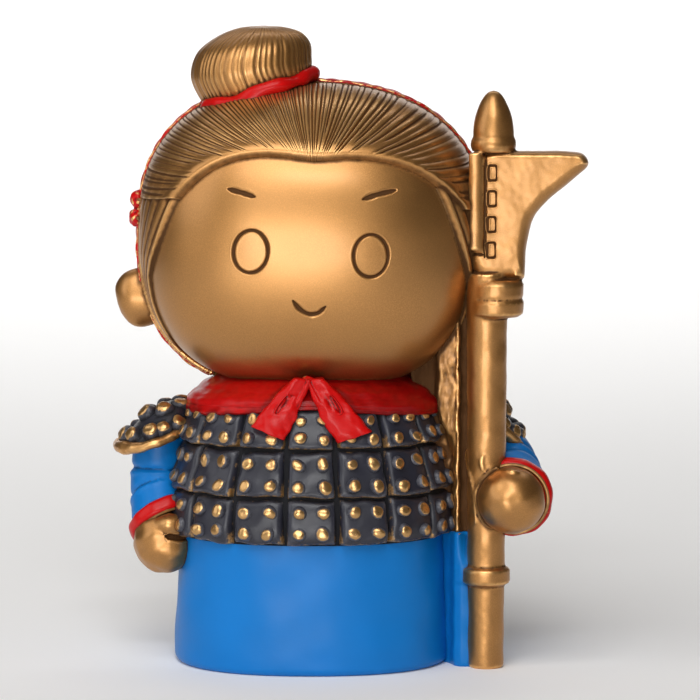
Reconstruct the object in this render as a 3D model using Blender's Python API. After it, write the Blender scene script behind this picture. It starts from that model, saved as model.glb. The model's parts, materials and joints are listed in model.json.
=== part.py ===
"""A painted resin figurine of a standing palace guard: big round head with a topknot, scarf, scale armour,
robe, and a dagger-axe held upright at the left side. The whole figure is one casting, so it is one solid.

Metres, +Z up. The figure faces -Y and its dagger-axe is at +X. The origin is the middle of the robe's underside.
"""

import math

import bmesh
import bpy
from mathutils import Matrix, Vector

MM = 0.001

# Robe
ROBE_WIDTH = 43.2 * MM
ROBE_DEPTH = 36.6 * MM
ROBE_HEIGHT = 20.3 * MM
HEM_ROUNDING = 1.2 * MM
WAIST_TAPER = 0.8 * MM
BODY_SQUARENESS = 2.3

# Armour
LAME_ROWS = 3
LAME_PITCH = 7.3 * MM
PLATE_COLUMNS = 16
PLATE_GAP = 0.6 * MM
ROW_GAP = 0.45 * MM
PLATE_THICKNESS = 1.3 * MM
PLATE_TILT = 0.5 * MM
STUD_RADIUS = 1.15 * MM
STUD_HEIGHT = 0.95 * MM
STUD_SIDES = 4
CHEST_SWELL = 0.5 * MM
SHOULDER_SLOPE = 3.4 * MM

# Scarf
SCARF_HEIGHT = 5.0 * MM
SCARF_FLARE = 1.5 * MM
SCARF_SAG = 1.5 * MM
SCARF_TAIL_LENGTH = 10.4 * MM
SCARF_TAIL_THICKNESS = 1.1 * MM
SCARF_KNOT_WIDTH = 3.4 * MM

# Head
HEAD_WIDTH = 54.0 * MM
HEAD_DEPTH = 43.0 * MM
CROWN_HEIGHT = 22.9 * MM
JAW_HEIGHT = 25.7 * MM
CHIN_SINK = 4.2 * MM
HEAD_SQUARENESS = 2.6
CROWN_SQUARENESS = 2.35
HEAD_ROLL = math.radians(2.0)
HAIR_THICKNESS = 1.0 * MM
HAIR_ROLL = 0.5 * MM
STRAND_DEPTH = 0.45 * MM
SIDELOCK_WIDTH = 3.2 * MM
SIDELOCK_LENGTH = 13.5 * MM
SIDELOCK_PROUD = 0.9 * MM
HAIRLINE_HEIGHT = 12.9 * MM
PEAK_DIP = 0.6 * MM
COMB_CENTRE_HEIGHT = 8.6 * MM
COMB_SPREAD = math.radians(99)
FRONT_STRANDS = 20
BACK_STRANDS = 10

# Straps, ears and topknot
STRAP_WIDTH = 3.0 * MM
STRAP_PROUD = 0.45 * MM
CORD_RADIUS = 0.6 * MM
KNOT_RADIUS = 1.5 * MM
STRAP_END = math.radians(-54)
EAR_HEIGHT = 9.2 * MM
EAR_PROUD = 4.6 * MM
TOPKNOT_RADIUS = 9.5 * MM
TOPKNOT_HEIGHT = 10.4 * MM
TOPKNOT_OFFSET = 9.3 * MM
TOPKNOT_LEAN = math.radians(20)
TOPKNOT_STRANDS = 14
TIE_RADIUS = 1.15 * MM

# Face
EYE_SPACING = 18.8 * MM
EYE_WIDTH = 5.4 * MM
EYE_HEIGHT = 6.7 * MM
EYE_LEVEL = -2.0 * MM
STROKE_WIDTH = 0.62 * MM
STROKE_DEPTH = 0.4 * MM
BROW_LENGTH = 4.8 * MM
BROW_SLOPE = math.radians(15)
BROW_LEVEL = 6.4 * MM
SMILE_WIDTH = 5.1 * MM
SMILE_LEVEL = -11.2 * MM

# Arms
SHOULDER_REACH = 2.0 * MM
ARMPIT_DEPTH = 9.4 * MM
BRIM_RADIUS = 6.6 * MM
BRIM_THICKNESS = 2.0 * MM
PAD_HEIGHT = 5.6 * MM
BEAD_RADIUS = 1.35 * MM
SLEEVE_RADIUS = 4.9 * MM
SLEEVE_DROP = 12.4 * MM
CUFF_WIDTH = 1.5 * MM
CUFF_PROUD = 0.8 * MM
LOWERED_HAND_RADIUS = 4.6 * MM
THUMB_RADIUS = 1.9 * MM
THUMB_LENGTH = 3.7 * MM
RAISED_HAND_RADIUS = 5.2 * MM
RAISED_HAND_LEVEL = 27.2 * MM

# Dagger-axe
SHAFT_RADIUS = 3.0 * MM
SHAFT_FORWARD = 9.0 * MM
SHAFT_LAP = 2.6 * MM
FOOT_RING_LEVEL = 14.4 * MM
FOOT_RING_HEIGHT = 2.6 * MM
RING_PROUD = 0.9 * MM
NECK_RING_HEIGHT = 5.8 * MM
NECK_RING_DRIFT = 1.3 * MM
BLADE_DROP = 7.0 * MM
BLADE_HEIGHT = 19.8 * MM
BLADE_REACH = 15.6 * MM
BLADE_BACK = 3.0 * MM
BLADE_THICKNESS = 5.0 * MM
SLOT_COUNT = 4
SLOT_WIDTH = 1.3 * MM
SLOT_HEIGHT = 2.7 * MM
SLOT_DEPTH = 0.6 * MM
BINDING_GROOVE_WIDTH = 0.5 * MM
SPIKE_RADIUS = 3.15 * MM
SPIKE_HEIGHT = 7.6 * MM
SPIKE_COLLAR = 2.4 * MM
WEB_THICKNESS = 5.0 * MM

# What follows from the sizes above
ARMOUR_TOP = ROBE_HEIGHT + LAME_ROWS * LAME_PITCH
SCARF_TOP = ARMOUR_TOP + SCARF_HEIGHT * 0.76
HEAD_CENTRE = Vector((0, 0, SCARF_TOP + JAW_HEIGHT - CHIN_SINK))
HEAD_POSE = Matrix.Translation(HEAD_CENTRE) @ Matrix.Rotation(HEAD_ROLL, 4, "Y")
BODY_FLATNESS = ROBE_DEPTH / ROBE_WIDTH
SHAFT_X = HEAD_WIDTH / 2 + SHAFT_RADIUS - SHAFT_LAP
BLADE_FOOT = HEAD_CENTRE.z - BLADE_DROP
BURIED = 1.5 * MM

# Linear colours of the paints
GOLD = ("gold_paint", (0.42, 0.24, 0.075), 0.38, 0.9)
BLUE = ("blue_paint", (0.009, 0.17, 0.6), 0.4, 0.0)
RED = ("red_paint", (0.55, 0.004, 0.006), 0.3, 0.0)
IRON = ("iron_paint", (0.03, 0.031, 0.042), 0.42, 0.1)


def paint(recipe):
    """The material of one paint, made once."""
    name, colour, roughness, metallic = recipe
    material = bpy.data.materials.get(name)
    if material is None:
        material = bpy.data.materials.new(name)
        material.use_nodes = True
        shader = material.node_tree.nodes["Principled BSDF"]
        shader.inputs["Base Color"].default_value = (*colour, 1)
        shader.inputs["Roughness"].default_value = roughness
        shader.inputs["Metallic"].default_value = metallic
    return material


def clear_scene():
    """Removes what the startup file holds."""
    for thing in list(bpy.data.objects):
        bpy.data.objects.remove(thing, do_unlink=True)


def collection(name):
    """An empty collection under the scene's own."""
    made = bpy.data.collections.new(name)
    bpy.context.scene.collection.children.link(made)
    return made


def place(name, bm, recipe, home, pose=None):
    """Makes the bmesh an object of the collection, with outward normals and one paint."""
    bmesh.ops.remove_doubles(bm, verts=bm.verts, dist=1e-6)
    bmesh.ops.connect_verts_nonplanar(bm, angle_limit=1e-5, faces=bm.faces)
    bmesh.ops.recalc_face_normals(bm, faces=bm.faces)
    mesh = bpy.data.meshes.new(name)
    bm.to_mesh(mesh)
    bm.free()
    if pose is not None:
        mesh.transform(pose)
    mesh.materials.append(paint(recipe))
    form = bpy.data.objects.new(name, mesh)
    home.objects.link(form)
    return form


def loft(rings, round_trip=False, bm=None):
    """Skins rings of equal point counts. The ends are capped, or joined to each other on a round trip."""
    bm = bm or bmesh.new()
    loops = [[bm.verts.new(point) for point in ring] for ring in rings]
    pairs = list(zip(loops, loops[1:]))
    if round_trip:
        pairs.append((loops[-1], loops[0]))
    for low, high in pairs:
        for i in range(len(low)):
            j = (i + 1) % len(low)
            bm.faces.new((low[i], low[j], high[j], high[i]))
    if not round_trip:
        bm.faces.new(loops[0][::-1])
        bm.faces.new(loops[-1])
    return bm


def power(value, exponent):
    """A power that keeps the sign."""
    return math.copysign(abs(value) ** exponent, value)


def oval(half_width, half_depth, squareness, sides, start=0.0):
    """Points of a superellipse about the origin, anticlockwise from above."""
    angles = [start + 2 * math.pi * i / sides for i in range(sides)]
    return [
        (half_width * power(math.cos(a), 2 / squareness), half_depth * power(math.sin(a), 2 / squareness))
        for a in angles
    ]


def disc(centre, axis, radii, sides, up=Vector((0, 1, 0))):
    """A ring of points about the centre, across the axis; radii are across and along the up direction."""
    axis = Vector(axis).normalized()
    across = up.cross(axis).normalized()
    along = axis.cross(across)
    steps = [2 * math.pi * i / sides for i in range(sides)]
    return [Vector(centre) + across * radii[0] * math.cos(a) + along * radii[1] * math.sin(a) for a in steps]


def turned(base, axis, profile, sides, squash=1.0, up=Vector((0, 1, 0))):
    """A closed turning: profile pairs are (distance along the axis, radius)."""
    axis = Vector(axis).normalized()
    rings = [disc(Vector(base) + axis * h, axis, (r, r * squash), sides, up) for h, r in profile]
    return loft(rings)


def bisect(function, low, high, steps=40):
    """Where a rising function crosses zero."""
    for _ in range(steps):
        middle = (low + high) / 2
        if function(middle) < 0:
            low = middle
        else:
            high = middle
    return (low + high) / 2


# Body


def chest_half_width(z):
    """Half the width of the cloth under the armour, from the waist to the shoulders."""
    rise = min(max((z - ROBE_HEIGHT) / (ARMOUR_TOP - ROBE_HEIGHT), 0.0), 1.0)
    waist = ROBE_WIDTH / 2 - WAIST_TAPER
    return waist + CHEST_SWELL * math.sin(math.pi * min(2 * rise, 1.0)) - SHOULDER_SLOPE * rise**2.2


def body_ring(half_width, z, sides):
    """A level ring of the body."""
    points = oval(half_width, half_width * BODY_FLATNESS, BODY_SQUARENESS, sides)
    return [(x, y, z) for x, y in points]


def make_robe(home):
    """The robe below the armour, with a rounded hem; its top is inside the armour. All else is joined to it."""
    foot = ROBE_WIDTH / 2
    levels = [(0.0, foot - HEM_ROUNDING)]
    levels.append((HEM_ROUNDING * 0.3, foot - HEM_ROUNDING * 0.3))
    levels.append((HEM_ROUNDING, foot))
    levels.append((ROBE_HEIGHT * 0.5, foot - WAIST_TAPER * 0.4))
    levels.append((ROBE_HEIGHT + BURIED, foot - WAIST_TAPER))
    return place("guard_figurine", loft([body_ring(w, z, 32) for z, w in levels]), BLUE, home)


def arc_table(half_width, count=720):
    """Angles round a body ring and the length of edge up to each, starting at the front middle."""
    half_depth = half_width * BODY_FLATNESS
    angles = [2 * math.pi * i / count for i in range(count + 1)]
    exponent = 2 / BODY_SQUARENESS
    points = [
        Vector((half_width * power(math.sin(a), exponent), half_depth * power(-math.cos(a), exponent)))
        for a in angles
    ]
    lengths = [0.0]
    for p, q in zip(points, points[1:]):
        lengths.append(lengths[-1] + (q - p).length)
    return angles, lengths


def angle_at(table, share):
    """The angle at a share of the way round a body ring."""
    angles, lengths = table
    wanted = (share % 1.0) * lengths[-1]
    low, high = 0, len(lengths) - 1
    while high - low > 1:
        middle = (low + high) // 2
        if lengths[middle] <= wanted:
            low = middle
        else:
            high = middle
    part = (wanted - lengths[low]) / (lengths[high] - lengths[low])
    return angles[low] + part * (angles[high] - angles[low])


def plate_pattern(width, height):
    """Faces of one studded plate front, as lists of points (across, up, level). Level 1 is the plate, 2 a stud."""
    bm = bmesh.new()
    half_w, half_h = width / 2, height / 2
    corners = [(-1, -1), (1, -1), (1, 1), (-1, 1)]
    outline = [bm.verts.new((x * half_w, y * half_h, 0)) for x, y in corners]
    edges = [bm.edges.new((outline[i], outline[(i + 1) % 4])) for i in range(4)]
    studs = []
    for x, y in corners:
        centre = Vector((x * half_w * 0.49, (y * 0.47 - 0.04) * half_h))
        rim = []
        for i in range(STUD_SIDES):
            a = 2 * math.pi * (i + 0.5) / STUD_SIDES
            x, y = centre.x + STUD_RADIUS * math.cos(a), centre.y + STUD_RADIUS * math.sin(a)
            rim.append(bm.verts.new((x, y, 0)))
        edges += [bm.edges.new((rim[i], rim[(i + 1) % STUD_SIDES])) for i in range(STUD_SIDES)]
        studs.append((centre, [v.co.copy() for v in rim]))
    bmesh.ops.triangle_fill(bm, use_beauty=True, edges=edges)
    faces = []
    for face in bm.faces:
        middle = face.calc_center_median().xy
        if all((middle - centre).length > STUD_RADIUS * 0.8 for centre, _ in studs):
            faces.append([(v.co.x, v.co.y, 1) for v in face.verts])
    bm.free()
    for centre, rim in studs:
        low = [(p.x, p.y, 1) for p in rim]
        top = [(centre.x + (p.x - centre.x) * 0.55, centre.y + (p.y - centre.y) * 0.55, 2) for p in rim]
        for i in range(STUD_SIDES):
            j = (i + 1) % STUD_SIDES
            faces.append([low[i], low[j], top[j], top[i]])
        faces.append(top)
    return faces


def make_armour(home):
    """Rows of studded plates wrapped round the trunk as one shell; each row overhangs the one below."""
    table = arc_table(ROBE_WIDTH / 2)
    perimeter = table[1][-1]
    width = perimeter / PLATE_COLUMNS - PLATE_GAP
    height = LAME_PITCH - ROW_GAP
    studded = plate_pattern(width, height)
    corners = [(-1, -1), (1, -1), (1, 1), (-1, 1)]
    plain = [[(x * width / 2, y * height / 2, 1) for x, y in corners]]
    bm = bmesh.new()

    def point(column, across, z, out):
        angle = angle_at(table, column / PLATE_COLUMNS + across / perimeter)
        half = chest_half_width(z)
        x = (half + out) * power(math.sin(angle), 2 / BODY_SQUARENESS)
        y = (half * BODY_FLATNESS + out) * power(-math.cos(angle), 2 / BODY_SQUARENESS)
        return x, y, z

    def face(points):
        bm.faces.new([bm.verts.new(p) for p in points])

    low_edge = PLATE_THICKNESS + PLATE_TILT
    high_edge = PLATE_THICKNESS - PLATE_TILT
    hem, neck = [], []
    for column in range(PLATE_COLUMNS):
        left, right = -width / 2, width / 2
        next_left = perimeter / PLATE_COLUMNS - width / 2
        for row in range(LAME_ROWS):
            bottom = ROBE_HEIGHT + LAME_PITCH * row
            top = bottom + LAME_PITCH
            shoulder = bottom + height
            under_arm = column % (PLATE_COLUMNS // 2) == PLATE_COLUMNS // 4 and row > 0
            for polygon in plain if under_arm else studded:
                placed = []
                for across, up, level in polygon:
                    out = PLATE_THICKNESS - 2 * PLATE_TILT * up / height + (level - 1) * STUD_HEIGHT
                    placed.append(point(column, across, bottom + height / 2 + up, out))
                face(placed)
            rims = {}
            for edge in (left, right):
                profile = [(bottom, 0), (bottom, low_edge), (shoulder, high_edge), (top, 0)]
                rims[edge] = [point(column, edge, z, out) for z, out in profile]
                face(rims[edge])
            face([rims[left][2], rims[right][2], rims[right][3], rims[left][3]])
            if row > 0:
                face([rims[left][0], rims[right][0], rims[right][1], rims[left][1]])
            face([point(column, across, z, 0) for across, z in (
                (right, bottom), (next_left, bottom), (next_left, top), (right, top))])
            if row == 0:
                hem += [rims[left][0], rims[left][1], rims[right][1], rims[right][0]]
            if row == LAME_ROWS - 1:
                neck += [rims[left][3], rims[right][3]]
    face(hem)
    face(neck)
    return place("armour", bm, IRON, home)


def make_scarf(home):
    """A wrapped band round the neck, lower over the shoulders than in front, with a knot and two tails."""
    sides = 24
    collar = chest_half_width(ARMOUR_TOP)
    rings = []
    for up, out in ((-0.26, -0.3), (-0.2, 1.0), (0.08, 0.95), (0.42, 0.3), (0.76, -0.6)):
        ring = []
        for i in range(sides):
            a = 2 * math.pi * (i + 0.5) / sides
            half = collar + out * SCARF_FLARE
            ring.append((
                half * power(math.cos(a), 2 / BODY_SQUARENESS),
                half * BODY_FLATNESS * power(math.sin(a), 2 / BODY_SQUARENESS),
                ARMOUR_TOP + up * SCARF_HEIGHT - SCARF_SAG * abs(math.cos(a)) * (1 - up),
            ))
        rings.append(ring)
    place("scarf", loft(rings), RED, home)
    front = -(collar + SCARF_FLARE) * BODY_FLATNESS
    knot = Vector((-SCARF_KNOT_WIDTH * 0.12, front, ARMOUR_TOP + SCARF_HEIGHT * 0.42))
    length = SCARF_TAIL_LENGTH
    for side in (-1, 1):
        outline = ((-0.03, 0.11), (0.26, 0.03), (0.88, -0.58), (0.4, -0.79))
        rings = []
        thickness = SCARF_TAIL_THICKNESS
        for out, shrink in ((-thickness, 0.9), (-thickness * 0.5, 1.0), (3 * BURIED, 1.0)):
            ring = []
            for x, z in outline:
                x, z = 0.38 + (x - 0.38) * shrink, -0.31 + (z + 0.31) * shrink
                ring.append(knot + Vector((side * x * length, out + 0.12 * min(z, 0) * length, z * length)))
            rings.append(ring)
        place("scarf_tail", loft(rings), RED, home)
    radii = (SCARF_KNOT_WIDTH / 2, SCARF_HEIGHT * 0.33)
    rings = []
    for out, share in ((-1.35, 0.5), (-1.0, 0.9), (0.0, 1.0), (2.0, 0.9)):
        centre = knot + Vector((0, out * SCARF_TAIL_THICKNESS, 0.08 * length))
        rings.append(disc(centre, (0, 1, 0), (radii[0] * share, radii[1] * share), 8, Vector((0, 0, 1))))
    return place("scarf_knot", loft(rings), RED, home)


# Head, in its own frame: the centre is the origin and the head isn't rolled yet


def head_reach(x, y, z):
    """How far out a point lies from the head's centre: 1 at hair level. The head is squarer below than above."""
    half_height, squareness = (CROWN_HEIGHT, CROWN_SQUARENESS) if z > 0 else (JAW_HEIGHT, HEAD_SQUARENESS)
    level = (abs(x) * 2 / HEAD_WIDTH) ** HEAD_SQUARENESS + (abs(y) * 2 / HEAD_DEPTH) ** HEAD_SQUARENESS
    rise = (abs(z) / half_height) ** squareness
    return (level ** (squareness / HEAD_SQUARENESS) + rise) ** (1 / squareness)


def direction_at(turn, tilt):
    """The direction at a turn round the head, anticlockwise from its left, and a tilt up from level."""
    return Vector((math.cos(tilt) * math.cos(turn), math.cos(tilt) * math.sin(turn), math.sin(tilt)))


def head_surface(direction):
    """Where a ray from the head's centre leaves the hair-level surface."""
    d = Vector(direction)
    return d / head_reach(*d)


def head_front(x, z):
    """The point of the hair-level front surface at that place in the front view."""
    half_height, squareness = (CROWN_HEIGHT, CROWN_SQUARENESS) if z > 0 else (JAW_HEIGHT, HEAD_SQUARENESS)
    room = max(1 - (abs(z) / half_height) ** squareness, 0.0) ** (HEAD_SQUARENESS / squareness)
    inside = max(room - (abs(x) * 2 / HEAD_WIDTH) ** HEAD_SQUARENESS, 0.0)
    return Vector((x, -HEAD_DEPTH / 2 * inside ** (1 / HEAD_SQUARENESS), z))


def face_scale():
    """The face lies this much inside the hair."""
    return 1 - HAIR_THICKNESS / (HEAD_WIDTH / 2)


def make_face(home):
    """The bare head under the hair."""
    columns, rows = 26, 11
    rings = []
    for row in range(rows + 1):
        tilt = math.pi * (row / rows - 0.5) * 0.98
        turns = [2 * math.pi * (column + 0.5) / columns for column in range(columns)]
        rings.append([head_surface(direction_at(turn, tilt)) * face_scale() for turn in turns])
    return place("face", loft(rings), GOLD, home, HEAD_POSE)


def hairline(x):
    """Height of the hairline in the front view: a shallow dip in the middle, falling away to the temples."""
    temple = 0.907 * HEAD_WIDTH / 2
    fall = HAIRLINE_HEIGHT * 0.8 * (abs(x) / temple) ** 3.7
    return HAIRLINE_HEIGHT - PEAK_DIP * math.exp(-((x * 12 / HEAD_WIDTH) ** 2)) - fall


def comb_ray(angle, distance):
    """A point of the front view on the strand that leaves the comb centre at that angle from upright."""
    return distance * math.sin(angle), COMB_CENTRE_HEIGHT + distance * math.cos(angle)


def make_front_hair(home):
    """Combed-back hair from the hairline to the rim of the head, fluted along strands that fan out."""
    profiles = []
    for step in range(2 * FRONT_STRANDS + 1):
        angle = COMB_SPREAD * (step / FRONT_STRANDS - 1)
        groove = -STRAND_DEPTH if step % 2 else 0.0

        def above_line(r):
            x, z = comb_ray(angle, r)
            return z - hairline(x)

        def outside_rim(r):
            x, z = comb_ray(angle, r)
            return head_reach(x, 0, z) - 1

        start = bisect(above_line, 0.0, HEAD_WIDTH / 2)
        rim = bisect(outside_rim, start, HEAD_WIDTH)
        lip = head_front(*comb_ray(angle, start))
        profile = [lip * 0.86, lip * (face_scale() - 0.01)]
        for share, roll in ((0.0, 0.35), (0.18, 0.9), (0.45, 0.6), (0.75, 0.1), (1.0, 0.0)):
            x, z = comb_ray(angle, start + (rim - start) * math.sin(share * math.pi / 2))
            point = head_front(x, z)
            profile.append(point * (1 + (groove * (share > 0) + roll * HAIR_ROLL) / point.length))
        profile.append(profile[-1] * 0.86)
        profiles.append(profile)
    return place("front_hair", loft(profiles), GOLD, home, HEAD_POSE)


def make_back_hair(home):
    """The back half of the head, fluted from the crown down to the nape."""
    levels = 6
    low, high = math.radians(-62), math.radians(84)
    rings = []
    for row in range(levels + 1):
        tilt = low + (high - low) * row / levels
        ring = []
        for step in range(2 * BACK_STRANDS + 1):
            turn = math.radians(1) + math.radians(178) * step / (2 * BACK_STRANDS)
            groove = -STRAND_DEPTH if step % 2 else 0.0
            point = head_surface(direction_at(turn, tilt))
            ring.append(point * (1 + groove / point.length))
        ring.append(ring[-1] * 0.5)
        ring.append(ring[0] * 0.5)
        rings.append(ring)
    return place("back_hair", loft(rings), GOLD, home, HEAD_POSE)


def make_sidelocks(home):
    """A tapering lock in front of each ear, from the temple down the edge of the face."""
    for side in (-1, 1):
        centres = []
        for share in (0.0, 0.25, 0.5, 0.75, 1.0):
            x = HEAD_WIDTH / 2 * (0.84 + 0.105 * share**0.5)
            z = CROWN_HEIGHT * 0.29 - SIDELOCK_LENGTH * share
            centres.append(head_front(side * x, z) * (face_scale() + 0.004))
        rings = []
        for i, centre in enumerate(centres):
            width = SIDELOCK_WIDTH / 2 * (1 - 0.75 * (i / 4) ** 1.5)
            after, before = centres[min(i + 1, 4)], centres[max(i - 1, 0)]
            rings.append(disc(centre, after - before, (width, SIDELOCK_PROUD), 6, centre.normalized()))
        place("sidelock", loft(rings), GOLD, home, HEAD_POSE)


def make_straps(home):
    """A thin gold cord and the ribbon behind it, over the head from one side of the jaw to the other."""
    steps = 24
    back = CORD_RADIUS + STRAP_WIDTH
    section = ((-CORD_RADIUS, -BURIED), (-CORD_RADIUS * 0.7, CORD_RADIUS), (CORD_RADIUS * 0.7, CORD_RADIUS),
               (CORD_RADIUS, STRAP_PROUD), (back, STRAP_PROUD), (back, -BURIED))
    rings = []
    for i in range(steps + 1):
        a = STRAP_END + (math.pi - 2 * STRAP_END) * i / steps
        edge = head_surface((math.cos(a), 0, math.sin(a)))
        rings.append([edge * (1 + out / edge.length) + Vector((0, along, 0)) for along, out in section])
    strap = place("strap", loft(rings), RED, home, HEAD_POSE)
    strap.data.materials.append(paint(GOLD))
    for face in strap.data.polygons:
        if (HEAD_POSE.inverted() @ face.center).y < CORD_RADIUS * 1.01:
            face.material_index = 1
    for side in (-1, 1):
        for lower in (0, 1):
            tilt = math.radians(7.5 - 6 * lower)
            centre = head_surface((side * math.cos(tilt), 0, math.sin(tilt))) + Vector((0, back * 0.5, 0))
            rings = []
            for h, r in ((-0.7, 0.9), (0.2, 1.0), (0.75, 0.45)):
                rings.append(disc(centre + Vector((side * h * KNOT_RADIUS, 0, 0)), (side, 0, 0),
                                  (KNOT_RADIUS * r, KNOT_RADIUS * r), 6))
            place("ribbon_knot", loft(rings), RED, home, HEAD_POSE)


def make_ears(home):
    """A plain rounded ear behind the ribbon on each side."""
    for side in (-1, 1):
        seat = head_surface((side, 0, -0.44)) + Vector((0, CORD_RADIUS + STRAP_WIDTH * 0.8, 0))
        out = Vector((side, 0, -0.3)).normalized()
        rings = []
        for h, r in ((-0.6, 0.95), (0.2, 1.0), (0.62, 0.86), (0.92, 0.5), (1.0, 0.15)):
            rings.append(disc(seat + out * h * EAR_PROUD, out, (EAR_HEIGHT * 0.32 * r, EAR_HEIGHT / 2 * r), 10,
                              Vector((0, 0, 1))))
        place("ear", loft(rings), GOLD, home, HEAD_POSE)


def make_topknot(home):
    """A coil of fluted hair that leans to the figure's right, and the band tied round its foot."""
    level = CROWN_HEIGHT * (1 - (TOPKNOT_OFFSET * 2 / HEAD_WIDTH) ** CROWN_SQUARENESS) ** (1 / CROWN_SQUARENESS)
    base = Vector((-TOPKNOT_OFFSET, -TOPKNOT_RADIUS * 0.03, level - TIE_RADIUS))
    sides = 2 * TOPKNOT_STRANDS
    profile = ((-0.2, 0.86, 0.03, 1.0), (0.02, 0.86, 0.02, 1.0), (0.15, 0.96, -0.02, 0.9),
               (0.38, 1.0, -0.1, 0.55), (0.68, 0.9, -0.06, 0.35), (0.9, 0.62, 0.02, 0.25),
               (1.0, 0.2, 0.08, 0.1))
    deep = 0.92
    rings = []
    for height, reach, drift, lean in profile:
        turn = TOPKNOT_LEAN * lean
        axis = Vector((-math.sin(turn), 0, math.cos(turn)))
        centre = base + Vector((drift * TOPKNOT_RADIUS, 0, height * TOPKNOT_HEIGHT))
        ring = []
        radius = TOPKNOT_RADIUS * reach
        for i, p in enumerate(disc(centre, axis, (radius, radius * deep), sides)):
            groove = STRAND_DEPTH if i % 2 and 0.1 < height < 1 else 0.0
            ring.append(p + (centre - p).normalized() * groove)
        rings.append(ring)
    place("topknot", loft(rings), GOLD, home, HEAD_POSE)
    axis = Vector((-math.sin(TOPKNOT_LEAN * 0.75), 0, math.cos(TOPKNOT_LEAN * 0.75)))
    middle = base + Vector((TOPKNOT_RADIUS * 0.06, 0, -TIE_RADIUS * 0.25))
    rings = []
    for i, out in enumerate(disc(middle, axis, (TOPKNOT_RADIUS * 0.88, TOPKNOT_RADIUS * 0.82), 15)):
        away = (out - middle).normalized()
        radius = TIE_RADIUS * (1 + 0.15 * math.cos(2 * math.pi * i / 5))
        turns = [2 * math.pi * k / 5 for k in range(5)]
        rings.append([out + (away * math.cos(t) + axis * math.sin(t)) * radius for t in turns])
    return place("topknot_tie", loft(rings, round_trip=True), RED, home, HEAD_POSE)


# Face strokes, cut into the casting


def groove(name, path, widths, home, closed=False):
    """A V-shaped cutter along a path of the front view, sunk to the stroke depth in the face."""
    centres = [head_front(x, z) * face_scale() for x, z in path]
    rings = []
    for i, (centre, width) in enumerate(zip(centres, widths)):
        before = centres[i - 1] if i or closed else centre
        after = centres[(i + 1) % len(centres)] if closed or i + 1 < len(centres) else centre
        rings.append(disc(centre, after - before, (width * 0.75, STROKE_DEPTH), 4, centre.normalized()))
    return place(name, loft(rings, round_trip=closed), GOLD, home, HEAD_POSE)


def make_face_strokes(home):
    """Two outlined oval eyes, two short brows and a small smile."""
    for side in (-1, 1):
        steps = 16
        turns = [2 * math.pi * (i + 0.5) / steps for i in range(steps)]
        middle = side * EYE_SPACING / 2
        path = [(middle + EYE_WIDTH / 2 * math.cos(t), EYE_LEVEL + EYE_HEIGHT / 2 * math.sin(t)) for t in turns]
        groove("eye_stroke", path, [STROKE_WIDTH] * steps, home, closed=True)
        inner = Vector((side * (EYE_SPACING - BROW_LENGTH / 4) / 2, BROW_LEVEL))
        along = Vector((side * math.cos(BROW_SLOPE), math.sin(BROW_SLOPE)))
        path = [inner + along * BROW_LENGTH * share for share in (0.0, 0.3, 0.7, 1.0)]
        groove("brow_stroke", path, [STROKE_WIDTH * w for w in (0.7, 1.4, 1.5, 0.8)], home)
    shares = [i / 6 - 0.5 for i in range(7)]
    path = [(SMILE_WIDTH * s, SMILE_LEVEL + SMILE_WIDTH * 0.38 * (2 * abs(s)) ** 2) for s in shares]
    groove("smile_stroke", path, [STROKE_WIDTH * (1.15 if 0 < i < 6 else 0.7) for i in range(7)], home)


# Arms


def make_pad(home, centre, tilt):
    """A beaded shoulder guard with a rolled gold brim; tilt leans the end away from the trunk down."""
    side = math.copysign(1, centre.x)
    pose = Matrix.Translation(centre) @ Matrix.Rotation(side * tilt, 4, "Y")
    half = BRIM_THICKNESS / 2
    long = 1.15
    rings = []
    for h, r in ((-half, 0.86), (-half * 0.5, 0.98), (half * 0.5, 0.98), (half, 0.86)):
        rings.append([(x, y, h) for x, y in oval(BRIM_RADIUS * r, BRIM_RADIUS * long * r, 2.0, 16)])
    place("shoulder_brim", loft(rings), GOLD, home, pose)

    def seat(reach, level, turn):
        lean = -side * level * PAD_HEIGHT * 0.5
        x, y = BRIM_RADIUS * reach * math.cos(turn), BRIM_RADIUS * long * reach * math.sin(turn)
        return Vector((x + lean, y, level * PAD_HEIGHT))

    rings = []
    for level, reach in ((0.0, 0.8), (0.35, 0.72), (0.7, 0.5), (0.9, 0.2)):
        rings.append([seat(reach, level, 2 * math.pi * (i + 0.3) / 10) for i in range(10)])
    place("shoulder_dome", loft(rings), IRON, home, pose)
    for reach, level, count in ((0.68, 0.34, 8), (0.3, 0.76, 3)):
        for i in range(count):
            turn = 2 * math.pi * (i + 0.5) / count
            out = Vector((math.cos(turn) * reach, math.sin(turn) * reach, 0.7)).normalized()
            rings = []
            for h, r in ((-0.4, 0.95), (0.45, 0.9), (0.95, 0.4)):
                centre = seat(reach, level, turn) + out * h * BEAD_RADIUS
                rings.append(disc(centre, out, (BEAD_RADIUS * r, BEAD_RADIUS * r), 5))
            place("shoulder_bead", loft(rings), IRON, home, pose)


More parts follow.
